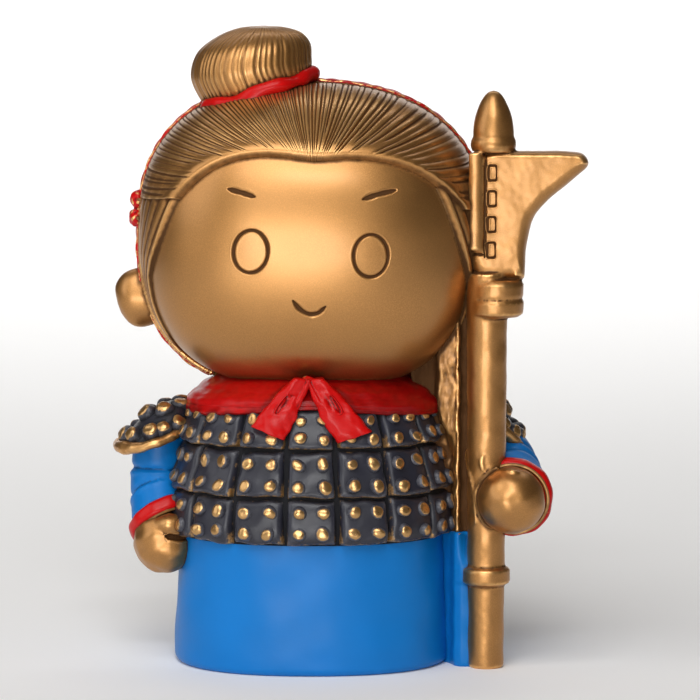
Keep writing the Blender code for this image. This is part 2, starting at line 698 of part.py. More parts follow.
def make_arm(home, path, radii, cuff_axis, hand, hand_radii):
    """A sleeve lofted through the path, a raised cuff round its end and a round fist."""
    rings = []
    for i, (centre, radius) in enumerate(zip(path, radii)):
        before, after = path[max(i - 1, 0)], path[min(i + 1, len(path) - 1)]
        rings.append(disc(centre, after - before, (radius, radius * 1.08), 10))
    place("sleeve", loft(rings), BLUE, home)
    wrist, radius = path[-1], radii[-1] + CUFF_PROUD
    rings = []
    for h, r in ((-1.1, 0.85), (-0.6, 0.98), (0.4, 1.0), (0.9, 0.9)):
        centre = wrist + cuff_axis * h * CUFF_WIDTH
        rings.append(disc(centre, cuff_axis, (radius * r, radius * 1.05 * r), 11))
    place("cuff", loft(rings), RED, home)
    rings = []
    for h, r in ((-0.95, 0.3), (-0.7, 0.72), (-0.25, 0.98), (0.25, 0.98), (0.7, 0.72), (0.95, 0.3)):
        centre = hand + Vector((0, 0, h * hand_radii[2]))
        rings.append(disc(centre, (0, 0, 1), (hand_radii[0] * r, hand_radii[1] * r), 11))
    place("fist", loft(rings), GOLD, home)


def make_armpit(home, reach, front, low):
    """The resin between an arm and the trunk, out to the middle of the arm, up from the low level."""
    inner = math.copysign(ROBE_WIDTH / 2 - SHOULDER_SLOPE - BURIED, reach)
    outline = [(inner, front), (reach, front), (reach, ARMPIT_DEPTH / 2), (inner, ARMPIT_DEPTH / 2)]
    levels = (low, ARMOUR_TOP - LAME_PITCH)
    return place("armpit", loft([[(x, y, z) for x, y in outline] for z in levels]), BLUE, home)


def make_arms(home):
    """The lowered right arm with its empty fist, and the raised left arm that holds the shaft."""
    shoulder_x = ROBE_WIDTH / 2 + SHOULDER_REACH
    brim_z = ARMOUR_TOP - LAME_PITCH
    make_pad(home, Vector((-shoulder_x - BRIM_RADIUS * 0.17, 0, brim_z)), math.radians(15))
    shoulder = Vector((-shoulder_x - SLEEVE_RADIUS * 0.08, SLEEVE_RADIUS * 0.1, brim_z))
    elbow = shoulder + Vector((-0.01, -0.04, -0.565)) * SLEEVE_DROP
    wrist = shoulder + Vector((0.05, -0.29, -1.0)) * SLEEVE_DROP
    radius = LOWERED_HAND_RADIUS
    hand = wrist + Vector((-0.02, -0.48, -0.67)) * radius
    make_arm(home, [shoulder, elbow, wrist], [SLEEVE_RADIUS * 0.92, SLEEVE_RADIUS * 0.9, SLEEVE_RADIUS * 0.98],
             Vector((0.42, -0.5, -0.75)).normalized(), hand, (radius * 0.94, radius, radius * 1.12))
    root = hand + Vector((0.26, -0.54, 0.57)) * radius
    rings = []
    for along, r in ((-0.4, 0.6), (0.0, 0.95), (0.5, 1.0), (0.85, 0.8), (1.0, 0.35)):
        centre = root + Vector((1.0, 0.24, -0.14)) * along * THUMB_LENGTH
        rings.append(disc(centre, (1, 0.3, -0.2), (THUMB_RADIUS * r, THUMB_RADIUS * 1.1 * r), 8))
    place("thumb", loft(rings), GOLD, home)
    make_armpit(home, -shoulder_x, -ARMPIT_DEPTH / 2, ROBE_HEIGHT + BURIED)

    make_armpit(home, SHAFT_X + SHAFT_RADIUS * 0.8, -SHAFT_FORWARD + SHAFT_RADIUS, RAISED_HAND_LEVEL)
    pad = Vector((shoulder_x + BRIM_RADIUS * 0.7, BRIM_RADIUS * 0.52, brim_z + BRIM_RADIUS * 0.08))
    make_pad(home, pad, math.radians(26))
    radius = RAISED_HAND_RADIUS
    hand = Vector((SHAFT_X + radius * 0.75, -SHAFT_FORWARD - radius * 0.65, RAISED_HAND_LEVEL))
    wrist = hand + Vector((0.15, 0.69, 0.04)) * radius
    shoulder = Vector((shoulder_x + SLEEVE_RADIUS * 0.33, SLEEVE_RADIUS * 0.61, brim_z))
    elbow = shoulder + Vector((0.9, 0, -0.82)) * SLEEVE_RADIUS
    make_arm(home, [shoulder, elbow, wrist], [SLEEVE_RADIUS, SLEEVE_RADIUS * 1.06, radius],
             Vector((-0.12, -0.98, -0.1)).normalized(), hand, (radius, radius, radius))


# Dagger-axe


def blade_outline():
    """Points of the blade in the front view, in shares of reach and height. They go up the hollow edge, round the
    beak and down the straight back, which is inside the head."""
    edge = []
    for i in range(8):
        height = i / 7
        edge.append((0.35 + 0.65 * height**2.1, 0.9 * height))
    back = -BLADE_BACK / BLADE_REACH
    beak = [(0.96, 0.96), (0.82, 0.995), (0.6, 1.0)]
    return edge + beak + [(back, 1.0), (back, 0.22), (back * 0.75, 0.2), (back * 0.75, 0.0)]


def make_dagger_axe(home):
    """Shaft with a foot ring and a neck ring, a beaked blade with lashing slots, and a round spike on top."""
    foot = Vector((SHAFT_X, -SHAFT_FORWARD, 0))
    low, high = FOOT_RING_LEVEL - FOOT_RING_HEIGHT / 2, FOOT_RING_LEVEL + FOOT_RING_HEIGHT / 2
    ring = SHAFT_RADIUS * 0.92 + RING_PROUD
    bevel = RING_PROUD * 0.3
    profile = [(0, SHAFT_RADIUS * 0.92), (low, SHAFT_RADIUS * 0.92), (low, ring - bevel), (low + bevel, ring),
               (high - bevel, ring), (high, ring - bevel), (high, SHAFT_RADIUS * 0.92),
               (BLADE_FOOT, SHAFT_RADIUS * 1.06)]
    place("shaft", turned(foot, (0, 0, 1), profile, 14), GOLD, home)
    neck = foot + Vector((NECK_RING_DRIFT, 0, BLADE_FOOT - NECK_RING_HEIGHT))
    ring = SHAFT_RADIUS * 1.06 + RING_PROUD * 1.2
    bands = ((0, 0.82), (0.12, 1.0), (0.42, 1.0), (0.52, 0.9), (0.62, 1.0), (0.9, 1.0), (1.0, 0.84))
    profile = [(h * NECK_RING_HEIGHT, ring * r) for h, r in bands]
    place("neck_ring", turned(neck, (0.05, 0, 1), profile, 14), GOLD, home)
    rings = []
    for out, shrink in ((0.5, 0.93), (0.36, 1.0), (-0.36, 1.0), (-0.5, 0.93)):
        ring = []
        for x, z in blade_outline():
            left, middle = -BLADE_BACK / BLADE_REACH, 0.62
            ring.append((
                SHAFT_X + (left + (x - left) * shrink) * BLADE_REACH,
                -SHAFT_FORWARD + out * BLADE_THICKNESS,
                BLADE_FOOT + (middle + (z - middle) * (0.45 + 0.55 * shrink)) * BLADE_HEIGHT,
            ))
        rings.append(ring)
    place("blade", loft(rings), GOLD, home)
    base = foot + Vector((NECK_RING_DRIFT * 0.7, 0, BLADE_FOOT + BLADE_HEIGHT - BURIED / 2))
    profile = [(0, SPIKE_RADIUS * 1.05), (SPIKE_COLLAR, SPIKE_RADIUS * 1.1), (SPIKE_COLLAR, SPIKE_RADIUS)]
    for share, reach in ((0.35, 0.88), (0.6, 0.7), (0.83, 0.43), (1.0, 0.07)):
        profile.append((SPIKE_COLLAR + share * SPIKE_HEIGHT, SPIKE_RADIUS * reach))
    return place("spike", turned(base, (0, 0, 1), profile, 12), GOLD, home)


def make_slots(home):
    """Cutters for the small lashing slots down the blade and for the groove beside them."""
    depth = SLOT_DEPTH + BURIED
    pitch = BLADE_HEIGHT * 0.76 / SLOT_COUNT
    y = -SHAFT_FORWARD - BLADE_THICKNESS / 2 + SLOT_DEPTH - depth / 2
    cuts = []
    for i in range(SLOT_COUNT):
        middle = Vector((SHAFT_X + SLOT_WIDTH * 0.54, y, BLADE_FOOT + BLADE_HEIGHT * 0.26 + pitch * i))
        cuts.append(("slot", middle, (SLOT_WIDTH, depth, SLOT_HEIGHT, 1)))
    middle = Vector((SHAFT_X - SLOT_WIDTH * 0.27, y, BLADE_FOOT + BLADE_HEIGHT * 0.62))
    cuts.append(("binding_groove", middle, (BINDING_GROOVE_WIDTH, depth, BLADE_HEIGHT * 0.8, 1)))
    for name, middle, size in cuts:
        bm = bmesh.new()
        bmesh.ops.create_cube(bm, size=1.0)
        place(name, bm, GOLD, home, Matrix.Translation(middle) @ Matrix.Diagonal(size))


def make_web(home):
    """The web of resin that joins the shaft to the body and the head: blue to the waist, gold above it."""
    inner = ROBE_WIDTH / 2 - SHOULDER_SLOPE - BURIED
    front = -SHAFT_FORWARD + SHAFT_RADIUS * 0.4
    back = front + WEB_THICKNESS
    waist = ROBE_HEIGHT + ROW_GAP
    chin = HEAD_CENTRE.z - JAW_HEIGHT * 0.5
    bands = (("web_blue", BLUE, 0.0, waist, SHAFT_RADIUS * 0.5), ("web_gold", GOLD, waist - BURIED, chin, 0.0))
    for name, recipe, low, high, ridge in bands:
        outline = [(inner, front), (SHAFT_X - SHAFT_RADIUS * 1.5, front),
                   (SHAFT_X - SHAFT_RADIUS * 1.15, front - ridge), (SHAFT_X, front - ridge),
                   (SHAFT_X, back), (inner, back)]
        place(name, loft([[(x, y, z) for x, y in outline] for z in (low, high)]), recipe, home)


def join(base, forms, strokes):
    """Unites the forms with the base and cuts the strokes, as one casting. The cut needs flat faces, so the
    united forms are made triangles before it."""
    for group in (forms, strokes):
        for form in group.objects:
            form.hide_render = True
            form.display_type = "WIRE"
    for name, operation, group in (("forms", "UNION", forms), ("strokes", "DIFFERENCE", strokes)):
        modifier = base.modifiers.new(name, "BOOLEAN")
        modifier.operation = operation
        modifier.solver = "EXACT"
        modifier.operand_type = "COLLECTION"
        modifier.collection = group
        modifier.material_mode = "TRANSFER"
        base.modifiers.new(name + "_facets", "TRIANGULATE")
    merge = base.modifiers.new("merge", "DECIMATE")
    merge.decimate_type = "DISSOLVE"
    merge.angle_limit = math.radians(2)
    merge.delimit = {"MATERIAL"}


def main():
    clear_scene()
    forms = collection("forms")
    strokes = collection("strokes")
    base = make_robe(bpy.context.scene.collection)
    make_armour(forms)
    make_scarf(forms)
    make_face(forms)
    make_front_hair(forms)
    make_back_hair(forms)
    make_sidelocks(forms)
    make_straps(forms)
    make_ears(forms)
    make_topknot(forms)
    make_arms(forms)
    make_dagger_axe(forms)
    make_web(forms)
    make_face_strokes(strokes)
    make_slots(strokes)
    join(base, forms, strokes)


main()
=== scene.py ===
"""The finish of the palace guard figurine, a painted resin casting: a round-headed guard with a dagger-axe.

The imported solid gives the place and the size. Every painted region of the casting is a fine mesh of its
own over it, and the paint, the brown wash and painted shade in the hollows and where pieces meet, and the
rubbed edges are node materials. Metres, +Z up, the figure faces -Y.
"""

import json
import math

import bmesh
import bpy
import numpy as np
from bpy.props import FloatProperty, FloatVectorProperty, IntProperty, PointerProperty
from bpy.types import Operator, Panel, PropertyGroup
from mathutils import Matrix, Vector
from mathutils.bvhtree import BVHTree

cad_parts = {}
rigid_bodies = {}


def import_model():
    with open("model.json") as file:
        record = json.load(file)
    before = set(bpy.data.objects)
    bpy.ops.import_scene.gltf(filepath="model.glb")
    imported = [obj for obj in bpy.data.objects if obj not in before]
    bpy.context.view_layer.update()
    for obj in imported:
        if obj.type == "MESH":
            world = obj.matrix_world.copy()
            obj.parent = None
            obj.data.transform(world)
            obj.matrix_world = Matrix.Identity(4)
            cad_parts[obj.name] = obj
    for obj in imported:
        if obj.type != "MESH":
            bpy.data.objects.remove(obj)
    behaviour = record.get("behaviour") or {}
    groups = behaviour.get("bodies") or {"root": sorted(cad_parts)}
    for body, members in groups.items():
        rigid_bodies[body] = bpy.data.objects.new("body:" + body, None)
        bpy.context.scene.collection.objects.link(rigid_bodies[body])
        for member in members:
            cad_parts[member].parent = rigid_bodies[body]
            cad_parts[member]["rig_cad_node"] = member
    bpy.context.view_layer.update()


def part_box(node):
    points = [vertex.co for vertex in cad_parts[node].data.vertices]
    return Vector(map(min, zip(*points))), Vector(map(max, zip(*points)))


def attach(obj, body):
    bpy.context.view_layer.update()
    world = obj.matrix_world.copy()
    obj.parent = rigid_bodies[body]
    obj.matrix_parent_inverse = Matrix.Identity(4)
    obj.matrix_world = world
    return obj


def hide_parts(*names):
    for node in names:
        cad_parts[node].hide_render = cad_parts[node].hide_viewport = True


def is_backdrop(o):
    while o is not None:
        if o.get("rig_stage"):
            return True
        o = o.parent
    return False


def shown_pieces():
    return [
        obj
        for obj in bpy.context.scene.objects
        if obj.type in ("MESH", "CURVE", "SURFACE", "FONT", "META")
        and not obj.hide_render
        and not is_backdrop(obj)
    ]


bl_info = {
    "name": "Palace guard figurine finish",
    "version": (1, 0, 0),
    "blender": (4, 5, 0),
    "location": "3D View > Sidebar > Guard",
    "description": "Builds the painted surface of the guard figurine over its packed solid",
    "category": "Add Mesh",
}

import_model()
NODE = "guard_figurine"
LOW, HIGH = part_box(NODE)

# One millimetre on the figurine, which stands this many millimetres tall
FIGURE_HEIGHT = 99.1
MM = (HIGH.z - LOW.z) / FIGURE_HEIGHT

# Robe and trunk
ROBE_WIDTH = 43.2 * MM
ROBE_DEPTH = 36.6 * MM
ROBE_HEIGHT = 20.3 * MM
HEM_ROUNDING = 1.2 * MM
WAIST_TAPER = 0.8 * MM
BODY_SQUARENESS = 2.3
CHEST_SWELL = 0.5 * MM
SHOULDER_SLOPE = 3.4 * MM
LAME_PITCH = 7.3 * MM
LAME_ROWS = 3
ARMOUR_TOP = ROBE_HEIGHT + LAME_ROWS * LAME_PITCH

# Scarf
SCARF_HEIGHT = 5.0 * MM
SCARF_FLARE = 1.5 * MM
SCARF_SAG = 1.5 * MM
SCARF_TAIL = 10.4 * MM

# Head
HEAD_WIDTH = 54.0 * MM
HEAD_DEPTH = 43.0 * MM
CROWN_HEIGHT = 22.9 * MM
JAW_HEIGHT = 25.7 * MM
HEAD_SQUARENESS = 2.6
CROWN_SQUARENESS = 2.35
HEAD_ROLL = math.radians(2.0)
HEAD_LEVEL = 67.5 * MM
HAIR_THICKNESS = 1.0 * MM
HAIRLINE_HEIGHT = 12.9 * MM
PEAK_DIP = 0.6 * MM
COMB_CENTRE_HEIGHT = 8.6 * MM
COMB_SPREAD = math.radians(99)
CORD_RADIUS = 0.6 * MM
STRAP_WIDTH = 3.0 * MM
STRAP_END = math.radians(-57)
TOPKNOT_RADIUS = 9.5 * MM
TOPKNOT_HEIGHT = 10.4 * MM
TOPKNOT_OFFSET = 9.3 * MM
TOPKNOT_LEAN = math.radians(20)
TIE_RADIUS = 1.15 * MM

# Arms
SHOULDER_X = ROBE_WIDTH / 2 + 2.0 * MM
BRIM_LEVEL = ARMOUR_TOP - LAME_PITCH
BRIM_RADIUS = 6.6 * MM
BRIM_DEPTH = BRIM_RADIUS * 1.15
PAD_HEIGHT = 5.6 * MM
SLEEVE_RADIUS = 4.9 * MM
RAISED_HAND_RADIUS = 5.2 * MM
RAISED_HAND_LEVEL = 27.2 * MM

# Dagger-axe
SHAFT_RADIUS = 3.0 * MM
SHAFT_X = 27.05 * MM
SHAFT_Y = -9.0 * MM
FOOT_RING_LEVEL = 14.4 * MM
FOOT_RING_HEIGHT = 2.6 * MM
BLADE_FOOT = HEAD_LEVEL - 7.0 * MM
BLADE_HEIGHT = 19.8 * MM
BLADE_TOP = BLADE_FOOT + BLADE_HEIGHT
BLADE_REACH = 15.6 * MM
BLADE_BACK = 3.0 * MM
BLADE_THICKNESS = 5.0 * MM
NECK_RING_HEIGHT = 5.8 * MM
SPIKE_RADIUS = 3.15 * MM
SPIKE_HEIGHT = 7.6 * MM
SPIKE_COLLAR = 2.4 * MM

# What a finish material's name adds to its paint slot's name
FINISH = "_finish"

HEAD_POSE = Matrix.Translation((0, 0, HEAD_LEVEL)) @ Matrix.Rotation(HEAD_ROLL, 4, "Y")
FACE_SCALE = 1 - HAIR_THICKNESS / (HEAD_WIDTH / 2)


class GuardHeadSettings(PropertyGroup):
    """Carving of the head."""

    strands: IntProperty(name="Strands", description="Combed strands over the brow", default=80, min=20)
    strand_depth: FloatProperty(
        name="Strand depth", description="Depth of the grooves between strands",
        default=0.3 * MM, unit="LENGTH",
    )
    stroke_width: FloatProperty(
        name="Stroke width", description="Width of the engraved face strokes",
        default=0.6 * MM, unit="LENGTH",
    )
    stroke_depth: FloatProperty(
        name="Stroke depth", description="Depth of the engraved face strokes",
        default=0.3 * MM, unit="LENGTH",
    )
    bead_pitch: FloatProperty(
        name="Cord pitch", description="Distance between the beads of the gold cord",
        default=0.66 * MM, unit="LENGTH",
    )


class GuardArmourSettings(PropertyGroup):
    """Plates and studs of the armour."""

    columns: IntProperty(name="Columns", description="Plates in each row round the trunk", default=16, min=6)
    gap: FloatProperty(name="Gap", description="Gap between plates", default=0.5 * MM, unit="LENGTH")
    thickness: FloatProperty(
        name="Thickness", description="Thickness of a plate", default=1.3 * MM, unit="LENGTH",
    )
    stud_radius: FloatProperty(
        name="Stud radius", description="Radius of a stud", default=1.15 * MM, unit="LENGTH",
    )
    stud_height: FloatProperty(
        name="Stud height", description="Height of a stud", default=0.95 * MM, unit="LENGTH",
    )
    seed: IntProperty(name="Seed", description="Seed of the uneven hand work", default=7)


class GuardPaintSettings(PropertyGroup):
    """Colours of the paints, linear."""

    gold: FloatVectorProperty(
        name="Gold", description="Gold paint",
        default=(0.54, 0.265, 0.082), subtype="COLOR", size=3, min=0, max=1,
    )
    bright_gold: FloatVectorProperty(
        name="Rubbed gold", description="Gold on edges",
        default=(0.86, 0.5, 0.19), subtype="COLOR", size=3, min=0, max=1,
    )
    # Dark brown of the wash, also used as painted shade in the hollows and where pieces meet
    wash: FloatVectorProperty(
        name="Wash and shade", description="Brown wash and painted shade in the hollows and where pieces meet",
        default=(0.05, 0.018, 0.006), subtype="COLOR", size=3, min=0, max=1,
    )
    blue: FloatVectorProperty(
        name="Blue", description="Robe and sleeves",
        default=(0.0025, 0.158, 0.49), subtype="COLOR", size=3, min=0, max=1,
    )
    red: FloatVectorProperty(
        name="Red", description="Scarf, cuffs and ribbons",
        default=(0.5, 0.003, 0.003), subtype="COLOR", size=3, min=0, max=1,
    )
    iron: FloatVectorProperty(
        name="Armour black", description="Plates",
        default=(0.012, 0.0125, 0.02), subtype="COLOR", size=3, min=0, max=1,
    )


class GuardStageSettings(PropertyGroup):
    """Floor and light."""

    floor: FloatVectorProperty(
        name="Floor", description="Floor colour",
        default=(0.95, 0.95, 0.95), subtype="COLOR", size=3, min=0, max=1,
    )
    light: FloatProperty(name="Light", description="Strength of all the lamps", default=1.0, min=0)


# Points and meshes


def ease(low, high, values):
    """A smooth step from 0 at low to 1 at high."""
    share = np.clip((np.asarray(values, float) - low) / (high - low), 0, 1)
    return share * share * (3 - 2 * share)


def signed_power(values, exponent):
    """A power that keeps the sign."""
    return np.sign(values) * np.abs(values) ** exponent


def curve_through(knots, count):
    """Points of a smooth curve through the knots, whatever their number of coordinates."""
    knots = np.asarray(knots, float)
    padded = np.vstack([2 * knots[0] - knots[1], knots, 2 * knots[-1] - knots[-2]])
    at = np.linspace(0, len(knots) - 1, count)
    start = np.minimum(at.astype(int), len(knots) - 2)
    t = (at - start)[:, None]
    a, b, c, d = (padded[start + i] for i in range(4))
    return 0.5 * (2 * b + (c - a) * t + (2 * a - 5 * b + 4 * c - d) * t**2 + (3 * b - a - 3 * c + d) * t**3)


def lumps(points, size, seed=1):
    """An even unevenness from -1 to 1 over the points, with swells of about that size."""
    random = np.random.default_rng(seed)
    total = np.zeros(len(points))
    waves = 14
    for _ in range(waves):
        direction = random.normal(size=3)
        direction *= random.uniform(0.6, 1.4) * 2 * math.pi / (size * np.linalg.norm(direction))
        total += np.sin(points @ direction + random.uniform(0, 2 * math.pi))
    return total / math.sqrt(waves)


def grid_faces(rows, columns, round_trip):
    """Quads over rows of closed sections; on a round trip the last row joins the first."""
    row, column = np.meshgrid(np.arange(rows if round_trip else rows - 1), np.arange(columns), indexing="ij")
    after, beside = (row + 1) % rows, (column + 1) % columns
    here, there = row * columns, after * columns
    corners = (here + column, here + beside, there + beside, there + column)
    return np.stack([corner.ravel() for corner in corners], axis=1).tolist()


def shell(name, grid, round_trip=False):
    """A closed mesh over rows of closed sections, whose ends are filled by fans."""
    rows, columns = grid.shape[:2]
    points = grid.reshape(-1, 3)
    faces = grid_faces(rows, columns, round_trip)
    if not round_trip:
        first, last = len(points), len(points) + 1
        end = (rows - 1) * columns
        points = np.vstack([points, grid[0].mean(axis=0), grid[-1].mean(axis=0)])
        for i in range(columns):
            j = (i + 1) % columns
            faces.append([first, j, i])
            faces.append([last, end + i, end + j])
    mesh = bpy.data.meshes.new(name)
    mesh.from_pydata(points.tolist(), [], faces)
    return outward(mesh)


def outward(mesh):
    """Merges doubles and turns the faces out."""
    bm = bmesh.new()
    bm.from_mesh(mesh)
    bmesh.ops.remove_doubles(bm, verts=bm.verts, dist=1e-7)
    bmesh.ops.recalc_face_normals(bm, faces=bm.faces)
    bm.to_mesh(mesh)
    bm.free()
    return mesh


def coordinates(mesh):
    """The mesh's points as an array."""
    flat = np.empty(len(mesh.vertices) * 3, np.float32)
    mesh.vertices.foreach_get("co", flat)
    return flat.reshape(-1, 3).astype(float)


def normals(mesh):
    """The mesh's point normals as an array."""
    flat = np.empty(len(mesh.vertices) * 3, np.float32)
    mesh.vertex_normals.foreach_get("vector", flat)
    return flat.reshape(-1, 3).astype(float)


def move(mesh, points):
    """Puts the mesh's points there."""
    mesh.vertices.foreach_set("co", np.asarray(points, np.float32).ravel())
    mesh.update()


def swell(mesh, heights):
    """Moves each point along its normal."""
    move(mesh, coordinates(mesh) + normals(mesh) * np.asarray(heights)[:, None])


def mark(mesh, name, values):
    """Keeps a number for each point, or one for all, for the paint to read."""
    attribute = mesh.attributes.get(name) or mesh.attributes.new(name, "FLOAT", "POINT")
    attribute.data.foreach_set("value", np.full(len(mesh.vertices), values, np.float32))


def marks(mesh, name):
    """The numbers kept for each point, or zeros."""
    values = np.zeros(len(mesh.vertices), np.float32)
    attribute = mesh.attributes.get(name)
    if attribute is not None:
        attribute.data.foreach_get("value", values)
    return values.astype(float)


def mark_rows(mesh, name, grid):
    """Marks a shell's points from values on its grid; the middles of its two ends get none."""
    values = np.append(grid.ravel(), (0.0, 0.0))
    if len(values) == len(mesh.vertices):
        mark(mesh, name, values)


def mark_relief(mesh, radius=0.9 * MM, passes=3):
    """Marks hollows and edges curved tighter than the radius, on top of what is marked already."""
    points, out = coordinates(mesh), normals(mesh)
    ends = np.empty(len(mesh.edges) * 2, np.int32)
    mesh.edges.foreach_get("vertices", ends)
    ends = ends.reshape(-1, 2)
    one = np.concatenate([ends[:, 0], ends[:, 1]])
    other = np.concatenate([ends[:, 1], ends[:, 0]])
    count = np.maximum(np.bincount(one, minlength=len(points)), 1)
    way = points[other] - points[one]
    length = np.maximum(np.linalg.norm(way, axis=1), 1e-6)
    bend = np.bincount(one, 2 * (way * out[one]).sum(axis=1) / length**2, len(points)) / count
    bend = np.clip(bend * radius, -2, 2)
    for _ in range(passes):
        bend = (bend + np.bincount(one, bend[other], len(points)) / count) / 2
    # The paints darken marked hollows as brown wash and painted shade, and lighten marked edges as rubbed paint
    mark(mesh, "hollow", np.maximum(marks(mesh, "hollow"), np.clip(bend, 0, 1)))
    mark(mesh, "edge", np.maximum(marks(mesh, "edge"), np.clip(-bend, 0, 1) * (1 - marks(mesh, "calm"))))


def near_strokes(flat, strokes):
    """Distance of flat points to each stroke's line and the share along it, strokes by points."""
    distances, shares = [], []
    for path in strokes:
        best = np.full(len(flat), np.inf)
        along = np.zeros(len(flat))
        for i, (start, end) in enumerate(zip(path, path[1:])):
            way = end - start
            t = np.clip((flat - start) @ way / max(way @ way, 1e-12), 0, 1)
            gap = np.linalg.norm(flat - start - t[:, None] * way, axis=1)
            closer = gap < best
            best[closer] = gap[closer]
            along[closer] = ((i + t) / (len(path) - 1))[closer]
        distances.append(best)
        shares.append(along)
    return distances, shares


def engrave(mesh, strokes, width, depth, pose=None, lip=0.12, rounds=2):
    """Cuts lines drawn in the front view into the mesh, refined round them, and marks them as hollows."""
    back = (pose or Matrix.Identity(4)).inverted()
    turn, shift = np.array(back.to_3x3()), np.array(back.translation)
    widths = np.broadcast_to(np.asarray(width, float), len(strokes))
    reach = widths.max() * 1.5
    for _ in range(rounds):
        flat = (coordinates(mesh) @ turn.T + shift)[:, [0, 2]]
        front = normals(mesh)[:, 1] < -0.2
        close = (np.min(near_strokes(flat, strokes)[0], axis=0) < reach) & front
        bm = bmesh.new()
        bm.from_mesh(mesh)
        bm.verts.ensure_lookup_table()
        chosen = {face for i in np.nonzero(close)[0] for face in bm.verts[i].link_faces}
        edges = sorted({edge for face in chosen for edge in face.edges}, key=lambda edge: edge.index)
        bmesh.ops.subdivide_edges(bm, edges=edges, cuts=1, use_grid_fill=True)
        bm.to_mesh(mesh)
        bm.free()
    flat = (coordinates(mesh) @ turn.T + shift)[:, [0, 2]]
    front = ease(0.1, 0.4, -normals(mesh)[:, 1])
    distances, shares = near_strokes(flat, strokes)
    sunk = np.zeros(len(flat))
    raised = np.zeros(len(flat))
    for number, (gap, share) in enumerate(zip(distances, shares)):
        open_ended = np.linalg.norm(strokes[number][0] - strokes[number][-1]) > 1e-9
        taper = np.minimum(1, 0.4 + 5 * np.minimum(share, 1 - share)) if open_ended else 1.0
        uneven = 1 + 0.08 * np.sin(share * 17 + number)
        half = widths[number] / 2 * taper * uneven
        sunk = np.maximum(sunk, 1 - ease(0.35, 1.15, gap / half))
        raised = np.maximum(raised, np.exp(-(((gap - 1.45 * half) / (0.4 * half)) ** 2)))
    heights = front * (-depth * sunk + depth * lip * raised * (1 - sunk))
    swell(mesh, heights)
    mark(mesh, "hollow", np.maximum(marks(mesh, "hollow"), sunk * front))
    mark(mesh, "calm", np.maximum(marks(mesh, "calm"), 0.75 * (np.min(distances, axis=0) < reach)))


def joined(name, parts):
    """One mesh of all the parts."""
    bm = bmesh.new()
    for part in parts:
        bm.from_mesh(part)
    mesh = bpy.data.meshes.new(name)
    bm.to_mesh(mesh)
    bm.free()
    return mesh


def fused(name, parts, voxel, passes=3):
    """One skin over all the parts, as cast resin runs together where they meet."""
    form = bpy.data.objects.new(name, joined(name, parts))
    bpy.context.scene.collection.objects.link(form)
    remesh = form.modifiers.new("skin", "REMESH")
    remesh.mode = "VOXEL"
    remesh.voxel_size = voxel
    soften = form.modifiers.new("soften", "SMOOTH")
    soften.factor = 0.5
    soften.iterations = passes
    mesh = settled(form)
    bpy.data.objects.remove(form, do_unlink=True)
    return mesh


def settled(form):
    """The evaluated object as a plain mesh."""
    bpy.context.view_layer.update()
    graph = bpy.context.evaluated_depsgraph_get()
    whole = form.evaluated_get(graph)
    return bpy.data.meshes.new_from_object(whole, preserve_all_data_layers=True, depsgraph=graph)


def piece(name, mesh, paint):
    """Hands a finished mesh over: one object with one paint, riding on the body, for its node."""
    form = bpy.data.objects.new(name, mesh)
    bpy.context.scene.collection.objects.link(form)
    mesh.materials.clear()
    mesh.materials.append(bpy.data.materials[paint + FINISH])
    mesh.shade_smooth()
    mark_relief(mesh)
    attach(form, "root")
    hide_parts(NODE)
    return form


def soft_outline(corners, passes):
    """A closed outline with ten points to a side, its corners softened by that many passes."""
    corners = np.vstack([corners, corners[:1]])
    plan = np.concatenate([np.linspace(a, b, 10, endpoint=False) for a, b in zip(corners, corners[1:])])
    for _ in range(passes):
        plan = (plan + (np.roll(plan, 1, axis=0) + np.roll(plan, -1, axis=0)) / 2) / 2
    return plan


def level_ring(x, y, z):
    """The points of a ring at one level."""
    return np.stack([x, y, np.full(len(x), z)], axis=1)


def ball(centre, radii, rows=24, columns=36):
    """A closed ball with three radii."""
    tilt = np.linspace(-math.pi / 2, math.pi / 2, rows + 2)[1:-1, None]
    turn = np.linspace(0, 2 * math.pi, columns, endpoint=False)[None, :]
    x = np.cos(tilt) * np.cos(turn) * radii[0]
    y = np.cos(tilt) * np.sin(turn) * radii[1]
    z = np.sin(tilt) * np.ones_like(turn) * radii[2]
    return shell("ball", np.stack([x, y, z], axis=2) + np.array(centre))


def swept(path, radii, columns=32, squash=1.0, up=(0.0, 1.0, 0.0), round_trip=False):
    """A tube along the path; radii may change along it."""
    path = np.asarray(path, float)
    radii = np.broadcast_to(np.asarray(radii, float), len(path))
    if round_trip:
        along = np.roll(path, -1, axis=0) - np.roll(path, 1, axis=0)
    else:
        along = np.gradient(path, axis=0)
    along /= np.linalg.norm(along, axis=1)[:, None]
    across = np.cross(np.array(up), along)
    across /= np.linalg.norm(across, axis=1)[:, None]
    over = np.cross(along, across)
    turn = np.linspace(0, 2 * math.pi, columns, endpoint=False)
    ring = across[:, None] * np.cos(turn)[None, :, None]
    ring = ring + over[:, None] * squash * np.sin(turn)[None, :, None]
    return shell("tube", path[:, None] + ring * radii[:, None, None], round_trip)


def turned(base, profile, columns=48, lean=(0.0, 0.0)):
    """A turned form on a vertical axis through a smooth profile of (height, radius) pairs."""
    profile = np.asarray(profile, float)
    turn = np.linspace(0, 2 * math.pi, columns, endpoint=False)
    grid = np.empty((len(profile), columns, 3))
    for i, (height, radius) in enumerate(profile):
        grid[i, :, 0] = base[0] + lean[0] * height + radius * np.cos(turn)
        grid[i, :, 1] = base[1] + lean[1] * height + radius * np.sin(turn)
        grid[i, :, 2] = base[2] + height
    return shell("turning", grid)


# Paint


